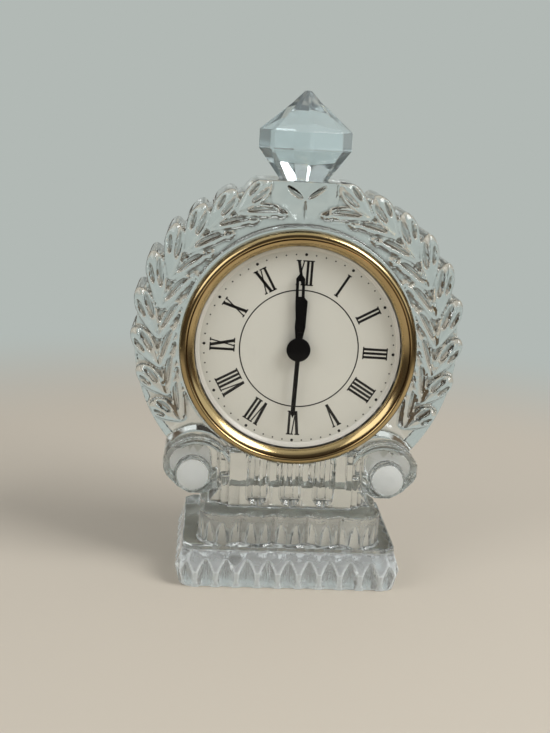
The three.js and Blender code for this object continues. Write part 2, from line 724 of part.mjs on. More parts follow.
function lens() {
  const edge = STACK_RADIUS - LENS_FLANGE;
  const sphere = (edge ** 2 + LENS_DOME ** 2) / (2 * LENS_DOME);
  const drop = (radius) => sphere - Math.sqrt(sphere ** 2 - radius ** 2);
  const radii = Array.from({ length: LENS_RINGS + 1 }, (_, i) => (edge * i) / LENS_RINGS);
  const apex = LENS_SEAT_Y - LENS_DOME;
  const outside = radii.map((radius) => [radius, apex + drop(radius)]);
  const inside = radii.map((radius) => [radius, apex + drop(radius) + LENS_THICKNESS]);
  return turned([
    ...outside,
    [STACK_RADIUS, LENS_SEAT_Y],
    [STACK_RADIUS, LENS_SEAT_Y + LENS_THICKNESS],
    ...inside.reverse(),
  ], ROUND);
}

function dialRing() {
  const inner = STACK_RADIUS - DIAL_RING_WIDTH;
  return turned([
    [inner, DIAL_FRONT_Y],
    [STACK_RADIUS, DIAL_FRONT_Y],
    [STACK_RADIUS, DIAL_RING_FRONT_Y],
    [inner + DIAL_RING_SLOPE, DIAL_RING_FRONT_Y],
    [inner, DIAL_FRONT_Y],
  ], ROUND);
}

function dial() {
  return tube(HOUR_PIPE_HOLE_RADIUS, STACK_RADIUS, DIAL_FRONT_Y, DIAL_BACK_Y, ROUND);
}

// The moulded cup: its floor is open for the cell and for the setting knob's shaft
function cup() {
  const wall = tube(CUP_INNER_RADIUS, CUP_RADIUS, DIAL_BACK_Y, CUP_BACK_Y, ROUND);
  const floor = rod(CUP_RADIUS - CUP_WALL / 2, CUP_FLOOR_Y, CUP_BACK_Y, ROUND);
  const hatchHole = block(
    HATCH_LENGTH + 2 * SEAT_GAP, 4 * CUP_FLOOR, HATCH_HEIGHT + 2 * SEAT_GAP,
    0, CUP_BACK_Y, CELL_Z,
  );
  const knobHole = rod(KNOB_SHAFT_RADIUS + SEAT_GAP, CUP_FLOOR_Y - 1, CUP_BACK_Y + 1, 16)
    .translate(settingArbor.x, 0, settingArbor.z);
  return solid(wall).add(solid(floor)).subtract(solid(hatchHole)).subtract(solid(knobHole));
}

function sleeve() {
  const inner = CUP_RADIUS + SEAT_GAP;
  const front = SEAT_Y + SEAT_GAP;
  return tube(inner, inner + SLEEVE_THICKNESS, front, front + SLEEVE_LENGTH, ROUND);
}

// The hatch fills the cup's opening and has a half-round grip along its top edge
function batteryHatch() {
  const plate = block(
    HATCH_LENGTH, CUP_FLOOR, HATCH_HEIGHT, 0, CUP_BACK_Y - CUP_FLOOR / 2, CELL_Z,
  );
  const notch = rod(HATCH_TAB_RADIUS, CUP_FLOOR_Y - 1, CUP_BACK_Y + 1, 20)
    .translate(0, 0, CELL_Z + HATCH_HEIGHT / 2);
  return solid(plate).subtract(solid(notch));
}

// Arbor places about the clock's axis
function offset(from, distance, degrees) {
  return {
    x: from.x + distance * Math.cos(radians(degrees)),
    z: from.z + distance * Math.sin(radians(degrees)),
  };
}
const axisArbor = { x: 0, z: 0 };
const thirdArbor = offset(axisArbor, THIRD_DISTANCE, THIRD_DIRECTION_DEG);
const fifthArbor = offset(axisArbor, FIFTH_DISTANCE, FIFTH_DIRECTION_DEG);
const rotorArbor = offset(fifthArbor, ROTOR_DISTANCE, ROTOR_DIRECTION_DEG);
const motionArbor = offset(axisArbor, MOTION_DISTANCE, MOTION_DIRECTION_DEG);
const motionModule = (2 * MOTION_DISTANCE) / (CANNON_PINION_TEETH + MOTION_WHEEL_TEETH);
const settingDistance = (motionModule * (MOTION_WHEEL_TEETH + SETTING_PINION_TEETH)) / 2;
const settingArbor = offset(motionArbor, settingDistance, MOTION_DIRECTION_DEG);

// Tooth size of two gears at a distance, and the turn that sets the second in the first's gaps
function moduleOf(distance, teethA, teethB) {
  return (2 * distance) / (teethA + teethB);
}

function meshedPhase(teethA, phaseA, directionDeg, teethB) {
  const direction = radians(directionDeg);
  const share = ((direction - phaseA) * teethA) / TAU;
  return direction + Math.PI - ((0.5 - share) * TAU) / teethB;
}

// A toothed disc with flat-sided teeth
function gear(teeth, module, phase, front, thickness) {
  const pitch = TAU / teeth;
  const rootRadius = module * (teeth / 2 - DEDENDUM);
  const tipRadius = module * (teeth / 2 + ADDENDUM);
  const points = [];
  for (let i = 0; i < teeth; i += 1) {
    const middle = phase + i * pitch;
    const corner = (radius, share) => {
      const angle = middle + (share * pitch) / 2;
      points.push([radius * Math.cos(angle), radius * Math.sin(angle)]);
    };
    corner(rootRadius, -TOOTH_ROOT_SHARE);
    corner(tipRadius, -TOOTH_TIP_SHARE);
    corner(tipRadius, TOOTH_TIP_SHARE);
    corner(rootRadius, TOOTH_ROOT_SHARE);
  }
  return slab(outline(points), front, front + thickness);
}

const wheelAt = (teeth, module, phase, level) => gear(
  teeth, module, phase, level, WHEEL_THICKNESS,
);
const pinionAt = (teeth, module, phase, level) => gear(
  teeth, module, phase, level - PINION_EXTRA, WHEEL_THICKNESS + 2 * PINION_EXTRA,
);

const secondsModule = moduleOf(FIFTH_DISTANCE, FIFTH_PINION_TEETH, SECONDS_WHEEL_TEETH);
const rotorModule = moduleOf(ROTOR_DISTANCE, ROTOR_PINION_TEETH, FIFTH_WHEEL_TEETH);
const thirdModule = moduleOf(THIRD_DISTANCE, SECONDS_PINION_TEETH, THIRD_WHEEL_TEETH);
const centreModule = moduleOf(THIRD_DISTANCE, THIRD_PINION_TEETH, CENTRE_WHEEL_TEETH);
const hourModule = moduleOf(MOTION_DISTANCE, MOTION_PINION_TEETH, HOUR_WHEEL_TEETH);

// The seconds arbor runs through everything and carries the second hand at its front
function secondsWheel() {
  return joined([
    rod(ARBOR_RADIUS, SECOND_HAND_Y, BACK_PLATE_BACK_Y),
    wheelAt(SECONDS_WHEEL_TEETH, secondsModule, 0, SECONDS_LEVEL),
    pinionAt(SECONDS_PINION_TEETH, thirdModule, 0, THIRD_LEVEL),
  ].map(solid));
}

function thirdWheel() {
  const phase = meshedPhase(SECONDS_PINION_TEETH, 0, THIRD_DIRECTION_DEG, THIRD_WHEEL_TEETH);
  return joined([
    rod(ARBOR_RADIUS, DIAL_BACK_Y + SEAT_GAP, BACK_PLATE_BACK_Y),
    wheelAt(THIRD_WHEEL_TEETH, thirdModule, phase, THIRD_LEVEL),
    pinionAt(THIRD_PINION_TEETH, centreModule, 0, CENTRE_LEVEL),
  ].map(solid));
}

function centreWheel() {
  const phase = meshedPhase(
    THIRD_PINION_TEETH, 0, THIRD_DIRECTION_DEG + 180, CENTRE_WHEEL_TEETH,
  );
  const wheel = wheelAt(CENTRE_WHEEL_TEETH, centreModule, phase, CENTRE_LEVEL);
  const bore = rod(HOUR_BORE_RADIUS, CENTRE_LEVEL - 1, CENTRE_LEVEL + WHEEL_THICKNESS + 1, 16);
  return solid(wheel).subtract(solid(bore));
}

function fifthWheel() {
  const phase = meshedPhase(SECONDS_WHEEL_TEETH, 0, FIFTH_DIRECTION_DEG, FIFTH_PINION_TEETH);
  return joined([
    rod(ARBOR_RADIUS, DIAL_BACK_Y + SEAT_GAP, BACK_PLATE_BACK_Y),
    pinionAt(FIFTH_PINION_TEETH, secondsModule, phase, SECONDS_LEVEL),
    wheelAt(FIFTH_WHEEL_TEETH, rotorModule, 0, FIFTH_LEVEL),
  ].map(solid));
}

function rotor() {
  const phase = meshedPhase(FIFTH_WHEEL_TEETH, 0, ROTOR_DIRECTION_DEG, ROTOR_PINION_TEETH);
  return joined([
    rod(ARBOR_RADIUS, DIAL_BACK_Y + SEAT_GAP, BACK_PLATE_BACK_Y),
    pinionAt(ROTOR_PINION_TEETH, rotorModule, phase, FIFTH_LEVEL),
    rod(ROTOR_MAGNET_RADIUS, STATOR_FRONT_Y, CORE_FRONT_Y + CORE_THICKNESS, 20),
  ].map(solid));
}

function minuteArbor() {
  const back = CENTRE_LEVEL + WHEEL_THICKNESS;
  const pipe = rod(MINUTE_ARBOR_RADIUS, MINUTE_HAND_Y, back, 16);
  const pinion = pinionAt(CANNON_PINION_TEETH, motionModule, 0, MOTION_LEVEL);
  const bore = rod(MINUTE_BORE_RADIUS, MINUTE_HAND_Y - 1, back + 1);
  return solid(pipe).add(solid(pinion)).subtract(solid(bore));
}

const motionPhase = meshedPhase(
  CANNON_PINION_TEETH, 0, MOTION_DIRECTION_DEG, MOTION_WHEEL_TEETH,
);

function motionWheel() {
  const hour = pinionAt(MOTION_PINION_TEETH, hourModule, 0, HOUR_LEVEL);
  const wheel = wheelAt(MOTION_WHEEL_TEETH, motionModule, motionPhase, MOTION_LEVEL);
  const hubBack = MOTION_LEVEL + WHEEL_THICKNESS;
  const hub = rod(STUD_RADIUS + 2 * RUNNING_FIT, HOUR_LEVEL - PINION_EXTRA, hubBack);
  const bore = rod(STUD_RADIUS + RUNNING_FIT, HOUR_LEVEL - 1, hubBack + 1);
  return solid(hour).add(solid(wheel)).add(solid(hub)).subtract(solid(bore));
}

function hourWheel() {
  const phase = meshedPhase(
    MOTION_PINION_TEETH, 0, MOTION_DIRECTION_DEG + 180, HOUR_WHEEL_TEETH,
  );
  const back = HOUR_LEVEL + WHEEL_THICKNESS;
  const wheel = wheelAt(HOUR_WHEEL_TEETH, hourModule, phase, HOUR_LEVEL);
  const pipe = rod(HOUR_PIPE_RADIUS, HOUR_HAND_Y, back, 20);
  const bore = rod(HOUR_BORE_RADIUS, HOUR_HAND_Y - 1, back + 1, 16);
  return solid(wheel).add(solid(pipe)).subtract(solid(bore));
}

// The knob's shaft runs forward past the going train to the motion wheel
function settingKnob() {
  const phase = meshedPhase(
    MOTION_WHEEL_TEETH, motionPhase, MOTION_DIRECTION_DEG, SETTING_PINION_TEETH,
  );
  const back = CUP_BACK_Y + SEAT_GAP;
  const ribs = [];
  for (let i = 0; i < 2 * KNOB_RIBS; i += 1) {
    const radius = i % 2 ? KNOB_RADIUS - KNOB_RIB_RISE : KNOB_RADIUS;
    const angle = (i * Math.PI) / KNOB_RIBS;
    ribs.push([radius * Math.cos(angle), radius * Math.sin(angle)]);
  }
  return joined([
    rod(KNOB_SHAFT_RADIUS, DIAL_BACK_Y + SEAT_GAP, back),
    pinionAt(SETTING_PINION_TEETH, motionModule, phase, MOTION_LEVEL),
    slab(outline(ribs), back, back + KNOB_HEIGHT),
  ].map((piece) => solid(piece)));
}

// Holes of the arbors that both plates carry
function arborHoles(front, back) {
  const holes = [
    [thirdArbor, ARBOR_RADIUS + RUNNING_FIT],
    [fifthArbor, ARBOR_RADIUS + RUNNING_FIT],
    [rotorArbor, ARBOR_RADIUS + RUNNING_FIT],
    [settingArbor, KNOB_SHAFT_RADIUS + RUNNING_FIT],
  ];
  return joined(holes.map(([place, radius]) => solid(
    rod(radius, front - 1, back + 1).translate(place.x, 0, place.z),
  )));
}

const pillarPlaces = PILLAR_ANGLES_DEG.map((angle) => offset(
  axisArbor, PILLAR_CIRCLE_RADIUS, angle,
));

// The front plate carries the pillars and the motion wheel's stud
function frontPlate() {
  const plateRadius = CUP_INNER_RADIUS - SEAT_GAP;
  let body = solid(rod(plateRadius, DIAL_BACK_Y, PLATE_BACK_Y, ROUND));
  body = body.subtract(arborHoles(DIAL_BACK_Y, PLATE_BACK_Y));
  body = body.subtract(solid(rod(HOUR_PIPE_HOLE_RADIUS, DIAL_BACK_Y - 1, PLATE_BACK_Y + 1, 20)));
  const stud = rod(STUD_RADIUS, DIAL_BACK_Y + SEAT_GAP, MOTION_LEVEL + WHEEL_THICKNESS);
  body = body.add(solid(stud.translate(motionArbor.x, 0, motionArbor.z)));
  for (const place of pillarPlaces) {
    const pillar = rod(PILLAR_RADIUS, DIAL_BACK_Y + SEAT_GAP, BACK_PLATE_FRONT_Y, 16);
    const screwHole = rod(
      SCREW_SHANK_RADIUS + SEAT_GAP, BACK_PLATE_BACK_Y - SCREW_LENGTH - SEAT_GAP,
      BACK_PLATE_FRONT_Y + 1,
    );
    body = body.add(solid(pillar.translate(place.x, 0, place.z)));
    body = body.subtract(solid(screwHole.translate(place.x, 0, place.z)));
  }
  return body;
}

// The back plate has a window for the coil and two rails that cradle the cell
function backPlate() {
  const plateRadius = CUP_INNER_RADIUS - BACK_PLATE_MARGIN;
  const [front, back] = [BACK_PLATE_FRONT_Y, BACK_PLATE_BACK_Y];
  let body = solid(rod(plateRadius, front, back, ROUND));
  body = body.subtract(arborHoles(front, back));
  body = body.subtract(solid(rod(ARBOR_RADIUS + RUNNING_FIT, front - 1, back + 1)));
  const window = block(
    COIL_LENGTH + 2 * SEAT_GAP + 1, 4 * BACK_PLATE_THICKNESS,
    2 * (COIL_FLANGE_RADIUS + SEAT_GAP), 0, front, COIL_Z,
  );
  body = body.subtract(solid(window));
  for (const side of [-1, 1]) {
    const railZ = CELL_Z + side * (CELL_RADIUS + SEAT_GAP + TRAY_RAIL / 2);
    body = body.add(solid(block(
      TRAY_RAIL_LENGTH, TRAY_RAIL_HEIGHT, TRAY_RAIL,
      0, back - RAIL_ROOT + TRAY_RAIL_HEIGHT / 2, railZ,
    )));
  }
  for (const place of pillarPlaces) {
    const hole = rod(SCREW_SHANK_RADIUS + SEAT_GAP, front - 1, back + 1);
    body = body.subtract(solid(hole.translate(place.x, 0, place.z)));
  }
  return body;
}

function plateScrew() {
  const head = BACK_PLATE_BACK_Y + SCREW_HEAD_HEIGHT;
  const slot = block(4 * SCREW_HEAD_RADIUS, SCREW_HEAD_HEIGHT, SCREW_SLOT, 0, head, 0);
  return solid(rod(SCREW_SHANK_RADIUS, BACK_PLATE_BACK_Y - SCREW_LENGTH, head))
    .add(solid(rod(SCREW_HEAD_RADIUS, BACK_PLATE_BACK_Y, head, 16)))
    .subtract(solid(slot));
}

// Stator plate: a U whose lower band surrounds the rotor and whose feet carry the core
function stator() {
  const half = CORE_LENGTH / 2;
  const top = COIL_Z + CORE_HEIGHT / 2;
  const bandTop = rotorArbor.z + STATOR_BAND / 2;
  const bandBottom = rotorArbor.z - STATOR_BAND / 2;
  const plate = slab(outline([
    [-half, bandBottom], [half, bandBottom], [half, top], [half - STATOR_LEG, top],
    [half - STATOR_LEG, bandTop], [STATOR_LEG - half, bandTop], [STATOR_LEG - half, top],
    [-half, top],
  ]), STATOR_FRONT_Y, CORE_FRONT_Y);
  const hole = rod(
    ROTOR_MAGNET_RADIUS + STATOR_HOLE_GAP, STATOR_FRONT_Y - 1, CORE_FRONT_Y + 1, 24,
  );
  return solid(plate).subtract(solid(hole.translate(rotorArbor.x, 0, rotorArbor.z)));
}

const coreMiddleY = CORE_FRONT_Y + CORE_THICKNESS / 2;

function coilCore() {
  return block(CORE_LENGTH, CORE_THICKNESS, CORE_HEIGHT, 0, coreMiddleY, COIL_Z);
}

// The bobbin is turned about the Y axis, then laid along X
function laidAlongX(geometry) {
  return geometry.rotateZ(Math.PI / 2).translate(0, coreMiddleY, COIL_Z);
}

function coilBobbin() {
  const half = COIL_LENGTH / 2;
  const barrel = Math.hypot(CORE_HEIGHT, CORE_THICKNESS) / 2 + SEAT_GAP + BOBBIN_WALL;
  const body = solid(laidAlongX(turned([
    [0, -half], [COIL_FLANGE_RADIUS, -half], [COIL_FLANGE_RADIUS, COIL_FLANGE - half],
    [barrel, COIL_FLANGE - half], [barrel, half - COIL_FLANGE],
    [COIL_FLANGE_RADIUS, half - COIL_FLANGE], [COIL_FLANGE_RADIUS, half], [0, half],
  ], 20)));
  const tunnel = block(
    2 * COIL_LENGTH, CORE_THICKNESS + 2 * SEAT_GAP, CORE_HEIGHT + 2 * SEAT_GAP,
    0, coreMiddleY, COIL_Z,
  );
  return body.subtract(solid(tunnel));
}

function coilWinding() {
  const half = COIL_LENGTH / 2 - COIL_FLANGE - RUNNING_FIT;
  const barrel = Math.hypot(CORE_HEIGHT, CORE_THICKNESS) / 2 + SEAT_GAP + BOBBIN_WALL;
  return laidAlongX(tube(barrel + RUNNING_FIT, COIL_WINDING_RADIUS, -half, half, 20));
}

const boardBackY = BACK_PLATE_BACK_Y + BOARD_THICKNESS;

function circuitBoard() {
  return block(
    BOARD_WIDTH, BOARD_THICKNESS, BOARD_HEIGHT,
    BOARD_X, BACK_PLATE_BACK_Y + BOARD_THICKNESS / 2, BOARD_Z,
  );
}

function chip() {
  return turned([
    [0, boardBackY], [CHIP_RADIUS, boardBackY], [0.85 * CHIP_RADIUS, boardBackY + 0.6 * CHIP_HEIGHT],
    [0.45 * CHIP_RADIUS, boardBackY + CHIP_HEIGHT], [0, boardBackY + CHIP_HEIGHT],
  ], 16).translate(BOARD_X, 0, BOARD_Z + BOARD_HEIGHT / 4);
}

function quartzCan() {
  const half = QUARTZ_LENGTH / 2;
  return rod(QUARTZ_RADIUS, -half, half, 16)
    .rotateZ(Math.PI / 2)
    .translate(BOARD_X, boardBackY + QUARTZ_RADIUS + RUNNING_FIT, BOARD_Z - BOARD_HEIGHT / 4);
}

function batteryCell() {
  const half = CELL_LENGTH / 2;
  const shoulder = CELL_NUB_LENGTH - half;
  return turned([
    [0, -half], [CELL_NUB_RADIUS, -half], [CELL_NUB_RADIUS, shoulder],
    [CELL_RADIUS - CELL_EDGE, shoulder], [CELL_RADIUS, shoulder + CELL_EDGE],
    [CELL_RADIUS, half - CELL_EDGE], [CELL_RADIUS - CELL_EDGE, half], [0, half],
  ], 24).rotateZ(Math.PI / 2).translate(0, CELL_Y, CELL_Z);
}

// A sprung strip at one end of the cell, with a dimple that presses on it
function contact(side) {
  const face = CELL_LENGTH / 2 + SEAT_GAP + DIMPLE_RISE;
  const strip = block(
    CONTACT_THICKNESS, CONTACT_HEIGHT, CONTACT_WIDTH,
    side * (face + CONTACT_THICKNESS / 2), BACK_PLATE_BACK_Y + CONTACT_HEIGHT / 2, CELL_Z,
  );
  const sunk = DIMPLE_RISE + CONTACT_THICKNESS / 2;
  const dimple = turned([
    [0, 0], [DIMPLE_RADIUS, DIMPLE_RISE], [DIMPLE_RADIUS, sunk], [0, sunk],
  ], 12).rotateZ(side * -Math.PI / 2).translate(side * (face - DIMPLE_RISE), CELL_Y, CELL_Z);
  return solid(strip).add(solid(dimple));
}

// A baton hand with a pointed end and a window near the tip, drawn towards twelve
function batonHand(length, width, boss, bore, y, degrees) {
  const half = width / 2;
  const blade = outline([
    [-HAND_ROOT_WIDTH / 2, 0], [HAND_ROOT_WIDTH / 2, 0],
    [half, length - HAND_TAPER], [half, length - HAND_POINT],
    [0, length], [-half, length - HAND_POINT], [-half, length - HAND_TAPER],
  ]);
  const slotTop = length - HAND_POINT - HAND_SLOT_WIDTH;
  const slot = block(
    HAND_SLOT_WIDTH, 6 * HAND_THICKNESS, HAND_SLOT_LENGTH,
    0, y, slotTop - HAND_SLOT_LENGTH / 2,
  );
  const front = y - HAND_THICKNESS;
  const hand = solid(slab(blade, front, y))
    .add(solid(rod(boss, front, y, 24)))
    .subtract(solid(slot))
    .subtract(solid(rod(bore, front - 1, y + 1, 16)));
  return geometryOf(hand).rotateY(radians(degrees));
}

function hourHand() {
  return batonHand(
    HOUR_HAND_LENGTH, HOUR_HAND_WIDTH, HOUR_BOSS_RADIUS, HOUR_BORE_RADIUS,
    HOUR_HAND_Y, HOUR_HAND_DEG,
  );
}

function minuteHand() {
  return batonHand(
    MINUTE_HAND_LENGTH, MINUTE_HAND_WIDTH, MINUTE_BOSS_RADIUS, MINUTE_BORE_RADIUS,
    MINUTE_HAND_Y, MINUTE_HAND_DEG,
  );
}

// The second hand has a short tail and a low round hub that hides the arbors
function secondHand() {
  const half = SECOND_HAND_WIDTH / 2;
  const front = SECOND_HAND_Y - HAND_THICKNESS;
  const blade = outline([
    [-half, -SECOND_HAND_TAIL], [half, -SECOND_HAND_TAIL],
    [half, SECOND_HAND_LENGTH - SECOND_HAND_WIDTH], [0, SECOND_HAND_LENGTH],
    [-half, SECOND_HAND_LENGTH - SECOND_HAND_WIDTH],
  ]);
  const hub = turned([
    [0, SECOND_HAND_Y], [HUB_RADIUS, SECOND_HAND_Y],
    [HUB_RADIUS, SECOND_HAND_Y - 0.6 * HUB_HEIGHT],
    [0.8 * HUB_RADIUS, SECOND_HAND_Y - HUB_HEIGHT], [0, SECOND_HAND_Y - HUB_HEIGHT],
  ], 28);
  const hand = solid(slab(blade, front, SECOND_HAND_Y)).add(solid(hub));
  return geometryOf(hand).rotateY(radians(SECOND_HAND_DEG));
}

// The scene graph: the crystal pieces, and the clock insert on the bore's axis
const clock = new THREE.Group();
const insert = new THREE.Group();
insert.position.z = CLOCK_AXIS_Z;
clock.add(insert);

function place(parent, name, piece, material, x = 0, z = 0) {
  const geometry = piece instanceof THREE.BufferGeometry ? closed(piece) : geometryOf(piece);
  const mesh = new THREE.Mesh(geometry, material);
  mesh.name = name;
  mesh.position.set(x, 0, z);
  parent.add(mesh);
}

place(clock, 'crystal_body', crystalBody(), materials.crystal);
place(clock, 'crystal_finial', crystalFinial(), materials.finial, 0, PAD_TOP_Z);

place(insert, 'bezel', bezel(), materials.brass);
place(insert, 'lens', lens(), materials.lens);
place(insert, 'dial_ring', dialRing(), materials.dial);
place(insert, 'dial', dial(), materials.dial);
place(insert, 'insert_cup', cup(), materials.casing);
place(insert, 'bore_sleeve', sleeve(), materials.rubber);
place(insert, 'battery_hatch', batteryHatch(), materials.casing);

place(insert, 'front_plate', frontPlate(), materials.plate);
place(insert, 'back_plate', backPlate(), materials.plate);
pillarPlaces.forEach(({ x, z }, i) => {
  place(insert, `plate_screw_${i + 1}`, plateScrew(), materials.steel, x, z);
});

place(insert, 'rotor', rotor(), materials.wheel, rotorArbor.x, rotorArbor.z);
place(insert, 'fifth_wheel', fifthWheel(), materials.wheel, fifthArbor.x, fifthArbor.z);
place(insert, 'seconds_wheel', secondsWheel(), materials.wheel);
place(insert, 'third_wheel', thirdWheel(), materials.wheel, thirdArbor.x, thirdArbor.z);
place(insert, 'centre_wheel', centreWheel(), materials.wheel);
place(insert, 'minute_arbor', minuteArbor(), materials.wheel);
place(insert, 'motion_wheel', motionWheel(), materials.wheel, motionArbor.x, motionArbor.z);
place(insert, 'hour_wheel', hourWheel(), materials.wheel);
place(insert, 'setting_knob', settingKnob(), materials.casing, settingArbor.x, settingArbor.z);

place(insert, 'hour_hand', hourHand(), materials.handBlack);
place(insert, 'minute_hand', minuteHand(), materials.handBlack);
place(insert, 'second_hand', secondHand(), materials.handBlack);

place(insert, 'stator', stator(), materials.steel);
place(insert, 'coil_core', coilCore(), materials.steel);
place(insert, 'coil_bobbin', coilBobbin(), materials.plate);
place(insert, 'coil_winding', coilWinding(), materials.copper);
place(insert, 'circuit_board', circuitBoard(), materials.board);
place(insert, 'chip', chip(), materials.resin);
place(insert, 'quartz_can', quartzCan(), materials.steel);
place(insert, 'battery_cell', batteryCell(), materials.cell);
place(insert, 'contact_plus', contact(1), materials.steel);
place(insert, 'contact_minus', contact(-1), materials.steel);

export default clock;
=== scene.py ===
import json
import math

import bmesh
import bpy
from mathutils import Matrix, Vector

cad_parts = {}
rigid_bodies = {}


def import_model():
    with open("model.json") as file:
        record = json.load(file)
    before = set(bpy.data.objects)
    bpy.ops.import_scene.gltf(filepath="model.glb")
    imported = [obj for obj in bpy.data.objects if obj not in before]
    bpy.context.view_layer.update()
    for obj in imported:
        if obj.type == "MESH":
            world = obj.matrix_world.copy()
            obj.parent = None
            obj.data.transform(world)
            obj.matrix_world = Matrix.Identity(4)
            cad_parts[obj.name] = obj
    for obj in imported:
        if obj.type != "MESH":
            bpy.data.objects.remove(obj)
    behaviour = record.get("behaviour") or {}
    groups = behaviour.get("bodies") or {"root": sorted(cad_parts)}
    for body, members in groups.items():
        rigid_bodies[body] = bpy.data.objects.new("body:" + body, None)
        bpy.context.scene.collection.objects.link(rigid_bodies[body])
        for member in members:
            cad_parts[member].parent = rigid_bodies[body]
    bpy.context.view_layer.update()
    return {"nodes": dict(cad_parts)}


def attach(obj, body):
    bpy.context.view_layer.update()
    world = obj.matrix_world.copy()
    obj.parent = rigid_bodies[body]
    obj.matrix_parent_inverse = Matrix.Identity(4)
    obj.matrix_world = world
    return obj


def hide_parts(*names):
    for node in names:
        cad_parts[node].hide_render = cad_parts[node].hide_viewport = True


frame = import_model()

MM = 0.001

# Camera
# A phone's camera held a little above the clock and left of its middle, tilted down, with the
# clock leaning slightly to the right in its picture.
EYE_PLACE = Vector((-31.4, -393.1, 164.1)) * MM
EYE_YAW = 0.0633
EYE_PITCH = 0.2291
EYE_ROLL = 0.0514
EYE_LENS = 56.5

eye_turn = (
    Matrix.Rotation(-EYE_YAW, 3, "Z")
    @ Matrix.Rotation(math.pi / 2 - EYE_PITCH, 3, "X")
    @ Matrix.Rotation(EYE_ROLL, 3, "Z")
)
bpy.ops.object.camera_add(location=EYE_PLACE, rotation=eye_turn.to_euler())
camera = bpy.context.object
camera.data.sensor_width = 36
camera.data.lens = EYE_LENS
camera.data.clip_start = 10 * MM
bpy.context.scene.camera = camera

# Crystal base
# The foot of one pressed lead-crystal casting: a slab whose sides swell to a belt and draw in
# again, with a row of pointed flutes ground round all four sides.
BASE_SIZE = (78.0, 56.0, 15.0)
BASE_FOOT_INSET = 1.6
BASE_BELT = 6.0
BASE_TOP_INSET = 2.4
BASE_SHOULDER = 12.8
BASE_CORNER = 3.2
FLUTES_ACROSS = 11
FLUTES_DEEP = 8
FLUTE_CUT = 2.4
FLUTE_SPRING = 2.6
FLUTE_ARCH = 11.6
ARCH_SHARES = (0.87, 0.68, 0.45, 0.22, 0.02)
ARCH_BOW = 1.25
FLUTE_SIDES = 32


def clear_selection():
    if bpy.context.mode != "OBJECT":
        bpy.ops.object.mode_set(mode="OBJECT")
    bpy.ops.object.select_all(action="DESELECT")


def pick(piece):
    clear_selection()
    piece.select_set(True)
    bpy.context.view_layer.objects.active = piece


def started(name):
    """The primitive that was just added, under its name and with its place in its mesh."""
    piece = bpy.context.object
    piece.name = name
    pick(piece)
    bpy.ops.object.transform_apply(location=True, rotation=True, scale=True)
    return piece


def edit(piece, kind, wanted):
    """Opens a piece and selects its vertices or faces by their place, in mm, or normal."""
    pick(piece)
    bpy.ops.object.mode_set(mode="EDIT")
    bpy.ops.mesh.select_mode(type=kind)
    bpy.ops.mesh.select_all(action="DESELECT")
    shape = bmesh.from_edit_mesh(piece.data)
    if kind == "VERT":
        for vertex in shape.verts:
            vertex.select_set(wanted(vertex.co / MM))
    else:
        for face in shape.faces:
            face.select_set(wanted(face.calc_center_median() / MM, face.normal))
    shape.select_flush_mode()
    bmesh.update_edit_mesh(piece.data)


def close_edit():
    bpy.ops.object.mode_set(mode="OBJECT")


def block(name, size, centre):
    bpy.ops.mesh.primitive_cube_add(size=1, location=Vector(centre) * MM)
    bpy.ops.transform.resize(value=Vector(size) * MM)
    return started(name)


def upright(name, radius, low, high, place, sides):
    """A round bar along Z."""
    bpy.ops.mesh.primitive_cylinder_add(
        vertices=sides, radius=radius * MM, depth=(high - low) * MM,
        location=Vector((place[0], place[1], (low + high) / 2)) * MM,
    )
    return started(name)


def crosswise(name, radius, front, back, place, sides):
    """A round bar along Y."""
    bpy.ops.mesh.primitive_cylinder_add(
        vertices=sides, radius=radius * MM, depth=(back - front) * MM,
        location=Vector((place[0], (front + back) / 2, place[1])) * MM,
        rotation=(math.pi / 2, 0, 0),
    )
    return started(name)


def copied(piece, name, change=Matrix.Identity(4)):
    """A copy with its own mesh, moved by a change given in mm."""
    twin = piece.copy()
    twin.data = piece.data.copy()
    twin.name = name
    bpy.context.scene.collection.objects.link(twin)
    scale = Matrix.Diagonal((MM, MM, MM, 1))
    twin.data.transform(scale @ change @ scale.inverted())
    if change.determinant() < 0:
        twin.data.flip_normals()
    return twin


def finish_with(piece, kind, **settings):
    """Adds one modifier with its settings and applies it."""
    pick(piece)
    modifier = piece.modifiers.new(kind.lower(), kind)
    for key, value in settings.items():
        setattr(modifier, key, value)
    bpy.ops.object.modifier_apply(modifier=modifier.name)
    return piece


def cut(piece, tool):
    finish_with(piece, "BOOLEAN", operation="DIFFERENCE", object=tool, solver="MANIFOLD")
    bpy.data.objects.remove(tool)


def bisected(piece, point, facing, **settings):
    """Cuts all the faces of a piece along a plane through a point in mm."""
    edit(piece, "FACE", lambda place, normal: True)
    bpy.ops.mesh.bisect(plane_co=[at * MM for at in point], plane_no=facing, **settings)
    close_edit()


half_across = BASE_SIZE[0] / 2
half_deep = BASE_SIZE[1] / 2
base = block("base", BASE_SIZE, (0, 0, BASE_SIZE[2] / 2))
for side in (-1, 1):
    for face in (-1, 1):
        bisected(
            base, (side * (half_across - BASE_CORNER), face * half_deep, 0), (side, face, 0),
            clear_outer=True, use_fill=True,
        )
for level in (BASE_BELT, BASE_SHOULDER):
    bisected(base, (0, 0, level), (0, 0, 1))
for low, high, inset in (
    (-1, 1, BASE_FOOT_INSET), (BASE_SHOULDER - 1, BASE_SIZE[2] + 1, BASE_TOP_INSET),
):
    edit(base, "VERT", lambda place: low < place.z < high)
    bpy.ops.transform.resize(value=(1 - inset / half_across, 1 - inset / half_deep, 1))
    close_edit()


